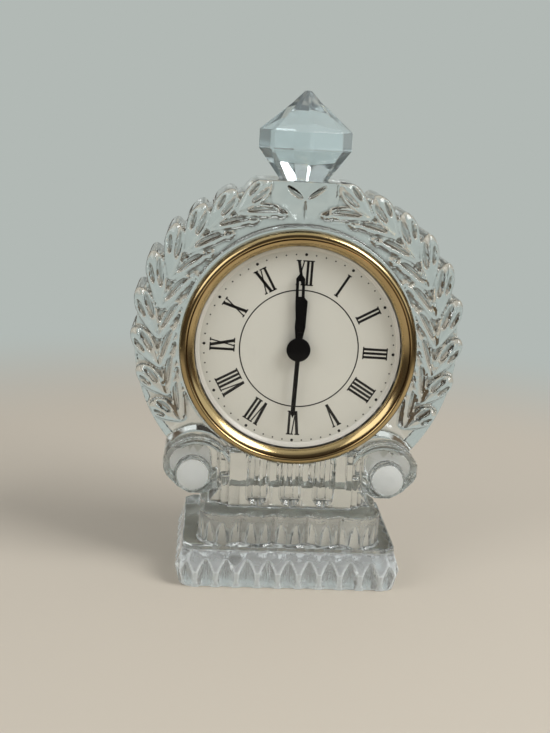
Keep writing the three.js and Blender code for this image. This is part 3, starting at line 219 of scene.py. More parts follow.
def flute_tool(pitch):
    """A round cutter that stands on end and closes in a pointed arch."""
    radius = ((pitch / 2) ** 2 + FLUTE_CUT ** 2) / (2 * FLUTE_CUT)
    tool = upright("flute", radius, -2, FLUTE_SPRING, (0, 0), FLUTE_SIDES)
    edit(tool, "FACE", lambda place, normal: normal.z > 0.9)
    width, rise = 1.0, 0.0
    for share in ARCH_SHARES:
        next_rise = FLUTE_ARCH * (1 - share ** ARCH_BOW)
        bpy.ops.mesh.extrude_region_move(
            TRANSFORM_OT_translate={"value": (0, 0, (next_rise - rise) * MM)}
        )
        bpy.ops.transform.resize(
            value=(share / width, math.sqrt(share / width), 1),
            center_override=(0, (radius - FLUTE_CUT) * MM, 0),
        )
        width, rise = share, next_rise
    close_edit()
    return tool, radius


for count, length, reach, turn in (
    (FLUTES_ACROSS, BASE_SIZE[0], half_deep, 0), (FLUTES_DEEP, BASE_SIZE[1], half_across, 90),
):
    tool, radius = flute_tool(length / count)
    for facing in (turn, turn + 180):
        for i in range(count):
            along = (i - (count - 1) / 2) * length / count
            spin = Matrix.Rotation(math.radians(facing), 4, "Z")
            spot = Matrix.Translation((along, -reach - radius + FLUTE_CUT, 0))
            cut(base, copied(tool, "flute_cut", spin @ spot))
    bpy.data.objects.remove(tool)

# Crystal step block and column
# The step block is ringed with flat round reeds. On it stands the column, with a raised middle
# panel that has three round-headed flutes front and back, and thinner wings beside it. Pieces
# of the casting run into each other by an overlap.
OVERLAP = 1.0
STEP_TOP = 26.0
REED_PITCH = 11.5
REEDS_ACROSS = 5
REEDS_DEEP = 4
REED_RISE = 2.3
REED_SIDES = 64
CLOCK_Z = 82.3
BORE_RADIUS = 37.0
PANEL_HALF = 21.3
PANEL_DEPTH = 33.0
WING_DEPTH = 25.0
WING_HALF = 29.0
WAIST_HALF = 24.5
COLUMN_FLUTE_RADIUS = 4.4
COLUMN_FLUTE_CUT = 2.2
COLUMN_FLUTE_HEIGHT = 12.0
COLUMN_FLUTE_SIDES = 40
COLUMN_FLUTE_HEAD = (20, 40, 60, 80, 89)
WING_FOOT = 5.0

crystal_pieces = [base]
step_half_x = REEDS_ACROSS * REED_PITCH / 2
step_half_y = REEDS_DEEP * REED_PITCH / 2
step_height = STEP_TOP - BASE_SIZE[2]
crystal_pieces.append(block(
    "step", (2 * step_half_x, 2 * step_half_y, step_height + OVERLAP),
    (0, 0, STEP_TOP - (step_height + OVERLAP) / 2),
))
reed_radius = ((REED_PITCH / 2) ** 2 + REED_RISE ** 2) / (2 * REED_RISE)
reed_back = reed_radius - REED_RISE
for count, out, turn in ((REEDS_ACROSS, step_half_y, 0), (REEDS_DEEP, step_half_x, 90)):
    for facing in (turn, turn + 180):
        for i in range(count):
            along = (i - (count - 1) / 2) * REED_PITCH
            place = Matrix.Rotation(math.radians(facing), 2) @ Vector((along, reed_back - out))
            crystal_pieces.append(upright(
                "reed", reed_radius, BASE_SIZE[2] - OVERLAP, STEP_TOP, place, REED_SIDES,
            ))

column_top = CLOCK_Z - BORE_RADIUS - 1
column_middle = (STEP_TOP + column_top) / 2
column_height = column_top - STEP_TOP + 2 * OVERLAP
column = block("column", (2 * PANEL_HALF, PANEL_DEPTH, column_height), (0, 0, column_middle))
flute = upright(
    "flute", COLUMN_FLUTE_RADIUS, STEP_TOP + COLUMN_FLUTE_RADIUS,
    STEP_TOP + COLUMN_FLUTE_RADIUS + COLUMN_FLUTE_HEIGHT, (0, 0), COLUMN_FLUTE_SIDES,
)
for side in (1, -1):
    edit(flute, "FACE", lambda place, normal: normal.z * side > 0.9)
    reach, rise = 1.0, 0.0
    for turn in COLUMN_FLUTE_HEAD:
        next_reach = math.cos(math.radians(turn))
        next_rise = COLUMN_FLUTE_RADIUS * math.sin(math.radians(turn))
        bpy.ops.mesh.extrude_region_move(
            TRANSFORM_OT_translate={"value": (0, 0, side * (next_rise - rise) * MM)}
        )
        bpy.ops.transform.resize(value=(next_reach / reach, next_reach / reach, 1))
        reach, rise = next_reach, next_rise
    close_edit()
for side in (-1, 1):
    for i in (-1, 0, 1):
        out = PANEL_DEPTH / 2 + COLUMN_FLUTE_RADIUS - COLUMN_FLUTE_CUT
        spot = Matrix.Translation((i * REED_PITCH, side * out, 0))
        cut(column, copied(flute, "flute_cut", spot))
bpy.data.objects.remove(flute)
crystal_pieces.append(column)

wings = block("wings", (2 * WING_HALF, WING_DEPTH, column_height), (0, 0, column_middle))
bisected(wings, (0, 0, STEP_TOP + WING_FOOT), (0, 0, 1))
edit(wings, "VERT", lambda place: place.z > STEP_TOP + WING_FOOT - 1)
bpy.ops.transform.resize(value=(WAIST_HALF / WING_HALF, 1, 1))
close_edit()
crystal_pieces.append(wings)

# Crystal volutes
# One scroll on each side: a round band raised over a sunk plate, which comes to a tip under
# its outer side, and a low domed eye in the middle, polished matt.
VOLUTE_X = 32.6
VOLUTE_Z = 36.2
VOLUTE_RADIUS = 12.9
VOLUTE_BAND = 2.2
VOLUTE_BAND_DEPTH = 28.6
VOLUTE_SINK = 3.3
VOLUTE_SIDES = 72
LEG_WIDTH = 4.2
VOLUTE_COMMA = (
    (-25, 1.0), (-5, 0.88), (12, 0.73), (25, 0.64), (45, 0.575), (90, 0.535), (135, 0.59), (180, 1.0),
)
EYE_X = 33.9
EYE_RADIUS = 6.0
EYE_DEPTH = 29.0
EYE_SIDES = 48
EYE_CROWN = ((0.7, 0.0), (1.6, 0.45), (1.6, 0.25))
EYE_EDGE = 0.7

scroll = crosswise(
    "volute", VOLUTE_RADIUS, -VOLUTE_BAND_DEPTH / 2, VOLUTE_BAND_DEPTH / 2,
    (VOLUTE_X, VOLUTE_Z), VOLUTE_SIDES,
)


def between(points, at):
    """The value at one place along a row of (place, value) points."""
    for (low, value), (high, next_value) in zip(points, points[1:]):
        if at <= high:
            return value + max(at - low, 0) / (high - low) * (next_value - value)
    return points[-1][1]


for step in range(-20, 180, 360 // VOLUTE_SIDES):

    def at_step(place):
        down = math.degrees(math.atan2(VOLUTE_Z - place.z, place.x - VOLUTE_X))
        return abs((down - step + 180) % 360 - 180) < 2

    edit(scroll, "VERT", at_step)
    reach = between(VOLUTE_COMMA, step)
    bpy.ops.transform.resize(
        value=(reach, 1, reach), center_override=(VOLUTE_X * MM, 0, VOLUTE_Z * MM),
    )
    close_edit()
edit(scroll, "FACE", lambda place, normal: abs(normal.y) > 0.9)
bpy.ops.mesh.inset(thickness=VOLUTE_BAND * MM, use_individual=True)
bpy.ops.transform.resize(
    value=(1, 1 - 2 * VOLUTE_SINK / VOLUTE_BAND_DEPTH, 1),
    center_override=(VOLUTE_X * MM, 0, VOLUTE_Z * MM),
)
close_edit()
eye = crosswise(
    "eye", EYE_RADIUS, -EYE_DEPTH / 2, EYE_DEPTH / 2, (EYE_X, VOLUTE_Z), EYE_SIDES,
)
edit(eye, "FACE", lambda place, normal: abs(normal.y) > 0.9)
for width, height in EYE_CROWN:
    bpy.ops.mesh.inset(thickness=width * MM, use_individual=True)
    bpy.ops.transform.resize(value=(1, 1 + 2 * height / EYE_DEPTH, 1))
close_edit()
finish_with(eye, "BEVEL", width=EYE_EDGE * MM, segments=3, limit_method="ANGLE")
leg = block(
    "leg", (LEG_WIDTH, VOLUTE_BAND_DEPTH, VOLUTE_Z - STEP_TOP + OVERLAP),
    (VOLUTE_X - VOLUTE_RADIUS + LEG_WIDTH / 2, 0, (VOLUTE_Z + STEP_TOP - OVERLAP) / 2),
)
for piece in (scroll, eye, leg):
    crystal_pieces += [piece, copied(piece, piece.name, Matrix.Diagonal((-1, 1, 1, 1)))]

# Crystal wreath and pad
# A thick ring with two laurel branches that rise from the volutes and meet under the pad. Each
# leaf is a crowned finger with two long oval hollows beside its midrib. The back is plain.
RING_DEPTH = 26.0
RING_BACK = 10.5
RING_SIDES = 128
WEB_DEPTH = 21.0
WEB_RADIUS = 55.2
SEAT_RADIUS = 41.0
WEB_START = -41
BRANCH_START = -35
LEAF_STEP = 12.3
LEAVES = 9
FINGER_SIDES = 40
FINGER_LEVELS = range(-1, 13)
SPINE_RADII = (47.4, 50.0)
LEAF_TURNS = (24, 19)
LEAF_DEPTH = 24.6
LEAF_LENGTH = 20.3
LEAF_WIDTH = 7.4
LEAF_FOOT_WIDTH = 0.42
LEAF_CROWN = ((0.35, 0.7), (1.1, 0.7), (1.2, 0.35))
LEAF_GROWTH = ((-35, 0.62), (10, 1.0), (25, 0.97), (50, 0.8), (90, 0.72))
VEINS = ((-1.45, 2.3, 10.5, 4), (1.6, 1.7, 7.6, -5))
VEIN_DEPTH = 2.0
VEIN_HEIGHT = 0.6
VEIN_OUT = 1.4
FROND_TURNS = (-29, -24)
FROND_INSIDE = 1.2
FROND_DEPTH = 22.4
FROND_LENGTH = 17.5
FROND_WIDTH = 4.6
FROND_BOW = 1.2
FROND_CROWN = ((0.35, 0.9), (0.7, 0.7), (0.6, 0.3))
FROND_VEIN = (2.1, 4.6, 11.0)
FROND_VEIN_ASIDE = 0.8
FROND_VEIN_HEIGHT = 0.45
FROND_VEIN_OUT = 1.7
PAD_TOP = 137.7
PAD_HALF = 12.2
PAD_FOOT = 123.5
PAD_FOOT_HALF = 8.5
PAD_FOOT_DEPTH = 19.0
PAD_DEPTH = 24.0
PAD_RIDGE_DEPTH = 27.0
PAD_TIP = 131.5
CREASE_DEPTH = 4.4
CREASE_OUT = 0.6
PAD_CREASES = ((0, 1.6, 9.0, -8.5), (55, 1.7, 8.5, 0.5), (-55, 2.2, 7.5, 0.5))

web = crosswise("web", WEB_RADIUS, -WEB_DEPTH / 2, WEB_DEPTH / 2, (0, CLOCK_Z), RING_SIDES)
bisected(
    web, (0, 0, CLOCK_Z + WEB_RADIUS * math.sin(math.radians(WEB_START))), (0, 0, 1),
    clear_inner=True, use_fill=True,
)
seat = crosswise("seat", SEAT_RADIUS, -RING_DEPTH / 2, RING_BACK, (0, CLOCK_Z), RING_SIDES)
crystal_pieces += [web, seat]


def lying(name, size, centre, turn=0):
    """A ball stretched to an egg: size across X, Y and Z, turned about Y."""
    bpy.ops.mesh.primitive_uv_sphere_add(
        segments=24, ring_count=16, radius=0.5, location=Vector(centre) * MM,
    )
    bpy.ops.transform.resize(value=Vector(size) * MM)
    if turn:
        bpy.ops.transform.rotate(
            value=math.radians(turn), orient_axis="Y", center_override=Vector(centre) * MM,
        )
    return started(name)


def finger(name, width, length, depth, crown):
    """A raised finger along Z from the origin, with a plain back and a front crowned by insets."""
    piece = crosswise(name, 0.5, -depth / 2, RING_BACK, (0, 0), FINGER_SIDES)
    edit(piece, "VERT", lambda place: True)
    bpy.ops.transform.resize(value=(width, 1, length))
    bpy.ops.transform.translate(value=(0, 0, (length / 2 - OVERLAP) * MM))
    close_edit()
    edit(piece, "FACE", lambda place, normal: normal.y < -0.9)
    for step, rise in crown:
        bpy.ops.mesh.inset(thickness=step * MM)
        bpy.ops.transform.translate(value=(0, -rise * MM, 0))
    close_edit()
    return piece


leaf = finger("leaf", LEAF_WIDTH, LEAF_LENGTH, LEAF_DEPTH, LEAF_CROWN)
for level in FINGER_LEVELS:
    edit(leaf, "VERT", lambda place: level <= place.z < level + 1)
    narrow = LEAF_FOOT_WIDTH + (1 - LEAF_FOOT_WIDTH) * (level + 1.5) / len(FINGER_LEVELS)
    bpy.ops.transform.resize(value=(narrow, 1, 1), center_override=(0, 0, 0))
    close_edit()
for aside, width, length, turn in VEINS:
    vein = lying(
        "vein", (width, 2 * VEIN_DEPTH, length),
        (aside, -LEAF_DEPTH / 2 - VEIN_OUT, VEIN_HEIGHT * LEAF_LENGTH), turn,
    )
    cut(leaf, vein)

frond = finger("frond", FROND_WIDTH, FROND_LENGTH, FROND_DEPTH, FROND_CROWN)
cut(frond, lying("vein", FROND_VEIN, (
    FROND_VEIN_ASIDE, -FROND_DEPTH / 2 - FROND_VEIN_OUT, FROND_VEIN_HEIGHT * FROND_LENGTH,
)))
for level in FINGER_LEVELS:
    edit(frond, "VERT", lambda place: level <= place.z < level + 1)
    share = (level + 1.5) / FROND_LENGTH
    bow = FROND_BOW * (1 - (2 * share - 1) ** 2)
    bpy.ops.transform.translate(value=(bow * MM, 0, 0))
    close_edit()

for side in (-1, 1):
    for i in range(LEAVES):
        angle = BRANCH_START + i * LEAF_STEP
        climb = min(max(angle / 50, 0), 1)
        radius = SPINE_RADII[0] + climb * (SPINE_RADII[1] - SPINE_RADII[0])
        length = between(LEAF_GROWTH, angle)
        whole = Matrix.Translation((0, 0, CLOCK_Z)) @ Matrix.Diagonal((side, 1, 1, 1))
        for piece, turns, root, stretch in (
            (leaf, LEAF_TURNS, radius, length), (frond, FROND_TURNS, radius - FROND_INSIDE, 1),
        ):
            turn = turns[0] + climb * (turns[1] - turns[0])
            place = (
                whole
                @ Matrix.Rotation(math.radians(-angle), 4, "Y")
                @ Matrix.Translation((root, 0, 0))
                @ Matrix.Rotation(math.radians(turn), 4, "Y")
                @ Matrix.Diagonal((1, 1, stretch, 1))
            )
            crystal_pieces.append(copied(piece, piece.name, place))
bpy.data.objects.remove(leaf)
bpy.data.objects.remove(frond)

pad = block(
    "pad", (2 * PAD_HALF, PAD_DEPTH, PAD_TOP - PAD_FOOT), (0, 0, (PAD_TOP + PAD_FOOT) / 2),
)
bisected(pad, (0, 0, 0), (1, 0, 0))
edit(pad, "VERT", lambda place: place.z < PAD_TOP - 1)
bpy.ops.transform.resize(value=(PAD_FOOT_HALF / PAD_HALF, PAD_FOOT_DEPTH / PAD_DEPTH, 1))
close_edit()
for side in (-1, 1):
    bisected(pad, (0, 0, PAD_TIP), (side * (PAD_TIP - PAD_TOP), 0, PAD_HALF))
edit(pad, "VERT", lambda place: abs(place.x) < 0.1 and place.z < PAD_TOP - 1)
bpy.ops.transform.resize(value=(1, PAD_RIDGE_DEPTH / PAD_DEPTH, 1))
close_edit()
for turn, width, length, start in PAD_CREASES:
    crease = lying("crease", (width, CREASE_DEPTH, length), (0, 0, start + length / 2))
    place = Matrix.Translation((0, -PAD_DEPTH / 2 - CREASE_OUT, PAD_TIP))
    cut(pad, copied(crease, "crease", place @ Matrix.Rotation(math.radians(turn), 4, "Y")))
    bpy.data.objects.remove(crease)
crystal_pieces.append(pad)

# Crystal body
# All of the above is one pressing. Its edges are fire polished, so they are soft, and its bore
# and the bezel's seat are ground in afterwards, so they are crisp.
VOXEL = 0.4
MOST_TRIANGLES = 190000
BEZEL_SEAT_RADIUS = 40.7
BEZEL_SEAT = -13.0
BORE_SIDES = 160
BORE_REACH = 60


def join_all(pieces, name):
    clear_selection()
    for piece in pieces:
        piece.select_set(True)
    bpy.context.view_layer.objects.active = pieces[0]
    bpy.ops.object.join()
    pieces[0].name = name
    return pieces[0]


def smooth(piece, degrees):
    """Shades a piece smooth, apart from edges that turn by more than this."""
    pick(piece)
    bpy.ops.object.shade_smooth_by_angle(angle=math.radians(degrees))


crystal = join_all(crystal_pieces, "crystal_casting")
finish_with(crystal, "REMESH", mode="VOXEL", voxel_size=VOXEL * MM)
finish_with(crystal, "SMOOTH", factor=0.5, iterations=2)
triangles = 2 * len(crystal.data.polygons)
if triangles > MOST_TRIANGLES:
    finish_with(crystal, "DECIMATE", ratio=MOST_TRIANGLES / triangles)
for name, radius, back in (
    ("bore", BORE_RADIUS, BORE_REACH), ("seat", BEZEL_SEAT_RADIUS, BEZEL_SEAT),
):
    cut(crystal, crosswise(name, radius, -BORE_REACH, back, (0, CLOCK_Z), BORE_SIDES))
cut(crystal, block("above", (80, 80, 20), (0, 0, PAD_TOP + 10)))
cut(crystal, block("below", (120, 120, 20), (0, 0, -10)))

# Crumbs that the two round cuts leave between them are cleared away
edit(crystal, "VERT", lambda place: place.z > PAD_TOP - 0.1)
bpy.ops.mesh.select_linked()
bpy.ops.mesh.select_all(action="INVERT")
bpy.ops.mesh.delete(type="VERT")
close_edit()
smooth(crystal, 50)


def linear(colour):
    """An sRGB hex colour as the linear colour that the shaders take."""
    parts = [int(colour[i:i + 2], 16) / 255 for i in (1, 3, 5)]
    return [p / 12.92 if p <= 0.04045 else ((p + 0.055) / 1.055) ** 2.4 for p in parts] + [1]


def add_node(tree, kind, settings={}, inputs={}):
    """One node with its settings, and its inputs as values or as other nodes' outputs."""
    node = tree.nodes.new(kind)
    for key, value in settings.items():
        setattr(node, key, value)
    for key, value in inputs.items():
        if isinstance(value, bpy.types.NodeSocket):
            tree.links.new(value, node.inputs[key])
        else:
            node.inputs[key].default_value = value
    return node


def new_material(name, **inputs):
    """A material whose one shader has these inputs; patterns are linked to it afterwards."""
    material = bpy.data.materials.new(name)
    material.use_nodes = True
    shader = material.node_tree.nodes["Principled BSDF"]
    for key, value in inputs.items():
        shader.inputs[key.replace("_", " ").title().replace("Ior", "IOR")].default_value = value
    return material, material.node_tree, shader


def give_skin(tree, shader, grain, relief, strength=1.0, detail=2.0):
    """Gives a finish a skin of noise with a grain and a relief in mm, and returns the noise."""
    where = add_node(tree, "ShaderNodeTexCoord")
    grains = add_node(
        tree, "ShaderNodeTexNoise", {},
        {"Vector": where.outputs["Object"], "Scale": 1000 / grain, "Detail": detail},
    )
    skin = add_node(
        tree, "ShaderNodeBump", {},
        {"Strength": strength, "Distance": relief * MM, "Height": grains.outputs["Fac"]},
    )
    tree.links.new(skin.outputs["Normal"], shader.inputs["Normal"])
    return grains.outputs["Fac"]


def dress(piece, material, body="stand"):
    """Gives a new piece its finish and the body that it moves with."""
    piece.data.materials.clear()
    piece.data.materials.append(material)
    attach(piece, body)


# Pressed lead crystal: clear with the least grey-green tint. The mould leaves slow ripples of
# a few millimetres in the skin, which break up what shows through it. The hollows and creases
# are tinted darker, as painted shade.
CRYSTAL_IOR = 1.545
CRYSTAL_TINT = "#f3f8f7"
HOLLOW_SHADE_TINT = "#5d564c"
HOLLOW = (0.45, 0.494)
RIPPLE_SIZE = 5.0
RIPPLE_RELIEF = 0.3
pressed_crystal, tree, shader = new_material(
    "pressed_lead_crystal", roughness=0.0, transmission_weight=1.0, ior=CRYSTAL_IOR,
)
shape = add_node(tree, "ShaderNodeNewGeometry")
# Painted shade: faces of low pointiness, in the hollows and creases, take the darker tint.
hollow_shade_mask = add_node(
    tree, "ShaderNodeMapRange", {},
    {"Value": shape.outputs["Pointiness"], "From Min": HOLLOW[0], "From Max": HOLLOW[1]},
)
shaded_hollows = add_node(
    tree, "ShaderNodeMix", {"data_type": "RGBA"},
    {0: hollow_shade_mask.outputs["Result"], 6: linear(HOLLOW_SHADE_TINT), 7: linear(CRYSTAL_TINT)},
)
tree.links.new(shaded_hollows.outputs[2], shader.inputs["Base Color"])
give_skin(tree, shader, RIPPLE_SIZE, RIPPLE_RELIEF, 0.2, 1.0)
dress(crystal, pressed_crystal)
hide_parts("crystal_body")

# The eyes of the volutes and the plates behind them are ground matt after pressing, so they
# scatter light and look white.
GRIT_SIZE = 0.4
GRIT_RELIEF = 0.02
ground_crystal, tree, shader = new_material(
    "ground_lead_crystal", base_color=linear("#f4f8f6"), roughness=0.55,
    transmission_weight=0.45, ior=CRYSTAL_IOR,
)
give_skin(tree, shader, GRIT_SIZE, GRIT_RELIEF)
crystal.data.materials.append(ground_crystal)

# The base's fluted sides keep the mould's satin skin, unpolished, with a chill wrinkle of two
# millimetres. It scatters some light, and its ridges are made less clear and so whiter, as a
# painted highlight.
WRINKLE_SIZE = 2.0
WRINKLE_RELIEF = 0.4
RIDGE_HIGHLIGHT = (0.49, 0.56)
satin_crystal, tree, shader = new_material(
    "satin_lead_crystal", base_color=linear("#f4fafc"), roughness=0.02, ior=CRYSTAL_IOR,
)
shape = add_node(tree, "ShaderNodeNewGeometry")
# Painted highlight: faces of high pointiness, on the ridges, get less transmission and look whiter.
clearness = add_node(
    tree, "ShaderNodeMapRange", {},
    {
        "Value": shape.outputs["Pointiness"], "From Min": RIDGE_HIGHLIGHT[0], "From Max": RIDGE_HIGHLIGHT[1],
        "To Min": 0.88, "To Max": 0.1,
    },
)
tree.links.new(clearness.outputs["Result"], shader.inputs["Transmission Weight"])
give_skin(tree, shader, WRINKLE_SIZE, WRINKLE_RELIEF, 0.5)
crystal.data.materials.append(satin_crystal)

# How far in mm each finish reaches on the casting
GROUND_INSET = 0.6
GROUND_DEPTH = 1.2
PLATE_ASIDE = 6.0
PLATE_UP = 8.5
SATIN_DEPTH = 5.0


def on_eye(place, normal):
    away = math.hypot(abs(place.x) - EYE_X, place.z - VOLUTE_Z)
    return away < EYE_RADIUS - GROUND_INSET and abs(place.y) > EYE_DEPTH / 2 - GROUND_DEPTH


def on_plate(place, normal):
    """The sunk plate round an eye, on its outer side."""
    across, up = abs(place.x) - VOLUTE_X, place.z - VOLUTE_Z
    wall = VOLUTE_RADIUS * between(VOLUTE_COMMA, math.degrees(math.atan2(-up, across)))
    inside = math.hypot(across, up) < wall - VOLUTE_BAND
    sunk = abs(abs(place.y) - VOLUTE_BAND_DEPTH / 2 + VOLUTE_SINK) < 0.5
    outer = across > EYE_X - VOLUTE_X - PLATE_ASIDE and up < PLATE_UP
    return inside and sunk and outer and abs(normal.y) > 0.8


def on_base_side(place, normal):
    near = abs(place.x) > half_across - SATIN_DEPTH or abs(place.y) > half_deep - SATIN_DEPTH
    return near and place.z < BASE_SHOULDER + 0.5 and abs(normal.z) < 0.8


for slot, wanted in ((1, on_eye), (1, on_plate), (2, on_base_side)):
    edit(crystal, "FACE", wanted)
    crystal.active_material_index = slot
    bpy.ops.object.material_slot_assign()
    close_edit()

# Finial
# A separate eight-sided cut crystal with a foot, a girdle, a crown and a small table, polished
# to sharp edges and glued to the pad with one edge to the front. It is a shade bluer. Its girdle
# faces are made less clear and a paler blue, as a painted highlight.
FINIAL_SIDES = 8
FINIAL_LEVELS = ((0.0, 8.3), (10.0, 15.7), (16.2, 15.7), (25.0, 5.3), (29.3, 1.0))
FINIAL_EDGE = 0.12
FINIAL_IOR = 1.4

finial = upright(
    "finial_cutting", FINIAL_LEVELS[0][1], PAD_TOP, PAD_TOP + FINIAL_LEVELS[1][0], (0, 0),
    FINIAL_SIDES,
)
edit(finial, "VERT", lambda place: place.z > PAD_TOP + 1)
widen = FINIAL_LEVELS[1][1] / FINIAL_LEVELS[0][1]
bpy.ops.transform.resize(value=(widen, widen, 1))
close_edit()
edit(finial, "FACE", lambda place, normal: normal.z > 0.9)
for (low, reach), (high, next_reach) in zip(FINIAL_LEVELS[1:], FINIAL_LEVELS[2:]):
    bpy.ops.mesh.extrude_region_move(
        TRANSFORM_OT_translate={"value": (0, 0, (high - low) * MM)}
    )
    bpy.ops.transform.resize(value=(next_reach / reach, next_reach / reach, 1))
close_edit()
finish_with(finial, "BEVEL", width=FINIAL_EDGE * MM, segments=2, limit_method="ANGLE")
cut_crystal, girdle_painted_highlight = (
    new_material(
        name, base_color=linear(tint), roughness=0.0, transmission_weight=clear, ior=FINIAL_IOR,
    )[0]
    for name, tint, clear in (("cut_crystal", "#edf9fc", 0.9), ("girdle_painted_highlight", "#eafbff", 0.76))
)
dress(finial, cut_crystal)
finial.data.materials.append(girdle_painted_highlight)
# Painted highlight: the girdle's upright faces take the paler, less clear crystal.
edit(finial, "FACE", lambda place, normal: place.z > PAD_TOP + 1 and abs(normal.z) < 0.1)
finial.active_material_index = 1
bpy.ops.object.material_slot_assign()
close_edit()
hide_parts("crystal_finial")

# Bore sleeve
# A strip of black rubber round the cup. It grips the ground bore, so the insert is held by
# friction and pulls out to the front. It is moulded matt and shows only through the crystal.
INSERT_SIDES = 128


def grained(name, colour, grain, relief, mottle=0.06, **inputs):
    """A finish whose skin has a grain of a size and height in mm, and varies a little in tone."""
    material, tree, shader = new_material(name, **inputs)
    grains = give_skin(tree, shader, grain, relief)
    tone = linear(colour)
    darker = [part * (1 - mottle) for part in tone[:3]] + [1]
    lighter = [min(part * (1 + mottle), 1) for part in tone[:3]] + [1]
    shade = add_node(
        tree, "ShaderNodeMix", {"data_type": "RGBA"}, {0: grains, 6: darker, 7: lighter},
    )
    tree.links.new(shade.outputs[2], shader.inputs["Base Color"])
    return material


def finish_nodes(material, *names):
    """Gives CAD nodes a material and leaves their shape alone."""
    for name in names:
        for place in frame["nodes"][name].material_slots:
            place.material = material


moulded_rubber = grained("moulded_black_rubber", "#242424", 0.5, 0.02, roughness=0.75)
finish_nodes(moulded_rubber, "bore_sleeve")

# Insert cup
# The insert's casing, moulded in black ABS with a rounded rear edge and a fine spark-eroded
# grain. Its floor is open for the cell and has a hole for the setting shaft.
CUP_RADIUS = 35.8
CUP_BORE = 34.3
CUP_FRONT = -14.0
CUP_BACK = 17.8
CUP_FLOOR = 1.5
CUP_EDGE = 1.2
CUP_ROUND = ((0.0, 1.0), (0.1, 0.55), (0.4, 0.15), (1.0, 0.0))
FLOOR_CUT = (10, 25)
HATCH_SIZE = (50.6, 1.5, 14.6)
HATCH_Z = CLOCK_Z - 14
HATCH_GAP = 0.3
KNOB_X = 11.43
KNOB_Z = 88.9
SHAFT_HOLE = 1.3
SLIVER = 0.006


def turned(name, profile, sides=INSERT_SIDES):
    """A shape turned about the clock's axis from (radius, Y) points, closed at its seam."""
    points = [Vector((radius, y, CLOCK_Z)) * MM for radius, y in profile]
    if profile[0][0] > 0:
        points.append(points[0])
    bpy.ops.mesh.primitive_plane_add(size=MM, location=points[0])
    piece = started(name)
    edit(piece, "VERT", lambda place: True)
    bpy.ops.mesh.merge(type="CENTER")
    for start, end in zip(points, points[1:]):
        bpy.ops.mesh.extrude_vertices_move(TRANSFORM_OT_translate={"value": end - start})
    bpy.ops.mesh.select_all(action="SELECT")
    bpy.ops.mesh.spin(
        steps=sides, angle=math.tau, center=(0, 0, CLOCK_Z * MM), axis=(0, 1, 0),
    )
    bpy.ops.mesh.select_all(action="SELECT")
    bpy.ops.mesh.remove_doubles(threshold=0.001 * MM)
    bpy.ops.mesh.normals_make_consistent(inside=False)
    close_edit()
    return piece


def softened(piece, width, segments=2):
    """Breaks the sharp edges of a piece, clears slivers and shades its round faces smooth."""
    finish_with(piece, "BEVEL", width=width * MM, segments=segments, limit_method="ANGLE")
    edit(piece, "FACE", lambda place, normal: True)
    bpy.ops.mesh.dissolve_degenerate(threshold=SLIVER * MM)
    close_edit()
    smooth(piece, 35)
    return finish_with(piece, "WEIGHTED_NORMAL", keep_sharp=True)


cup = turned("cup_moulding", (
    (0, CUP_BACK - CUP_FLOOR), (CUP_BORE, CUP_BACK - CUP_FLOOR), (CUP_BORE, CUP_FRONT),
    (CUP_RADIUS, CUP_FRONT),
    *((CUP_RADIUS - inward * CUP_EDGE, CUP_BACK - low * CUP_EDGE) for inward, low in CUP_ROUND),
    (0, CUP_BACK),
))
cut(cup, block(
    "opening", (HATCH_SIZE[0] + 2 * HATCH_GAP, 6, HATCH_SIZE[2] + 2 * HATCH_GAP),
    (0, CUP_BACK, HATCH_Z),
))
cut(cup, crosswise("shaft_hole", SHAFT_HOLE, *FLOOR_CUT, (KNOB_X, KNOB_Z), 32))
softened(cup, 0.2)
black_abs = grained("moulded_black_abs", "#29292b", 0.35, 0.012, roughness=0.36)
dress(cup, black_abs)
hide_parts("insert_cup")

# Battery hatch
# A loose cover of the same ABS that fills the opening. A half-round notch takes a fingernail,
# and a few grooves below it give a grip. It pulls straight out to the back.
NOTCH_RADIUS = 3.0
GROOVES = 4
GROOVE_PITCH = 1.7
GROOVE_SIZE = (14, 0.8, 0.7)
GROOVE_TAPER = 2
FIRST_GROOVE = 2.6

hatch = block("hatch_moulding", HATCH_SIZE, (0, CUP_BACK - HATCH_SIZE[1] / 2, HATCH_Z))
cut(hatch, crosswise(
    "notch", NOTCH_RADIUS, *FLOOR_CUT, (0, HATCH_Z + HATCH_SIZE[2] / 2), 40,
))
for i in range(GROOVES):
    cut(hatch, block(
        "groove", (GROOVE_SIZE[0] - GROOVE_TAPER * i, *GROOVE_SIZE[1:]),
        (0, CUP_BACK, HATCH_Z + FIRST_GROOVE - i * GROOVE_PITCH),
    ))
softened(hatch, 0.18)
dress(hatch, black_abs, "hatch")
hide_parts("battery_hatch")

# Setting knob
# A ribbed ABS knob on a shaft that runs forward to the motion work. Turned by hand from the
# back, it sets the hands. Its head is dished so that a fingertip finds it.
KNOB_RADIUS = 5.0
KNOB_RIBS = 12
KNOB_SIDES = 96
RIB_TURN = 0.1
KNOB_FRONT = 18.1
KNOB_BACK = 21.3
RIB_SHARE = 0.93
KNOB_DISH = ((0.8, 0.0), (0.85, 0.5))


def cast_of(node, name):
    """A copy of a CAD node's mesh with its loose triangles merged into faces."""
    twin = bpy.data.objects.new(name, frame["nodes"][node].data.copy())
    bpy.context.scene.collection.objects.link(twin)
    edit(twin, "VERT", lambda place: True)
    bpy.ops.mesh.remove_doubles(threshold=0.001 * MM)
    bpy.ops.mesh.dissolve_limited(angle_limit=math.radians(1))
    close_edit()
    return twin


def between_ribs(place):
    turn = math.atan2(place.z - KNOB_Z, place.x - KNOB_X)
    return math.cos(KNOB_RIBS * turn - RIB_TURN) < 0


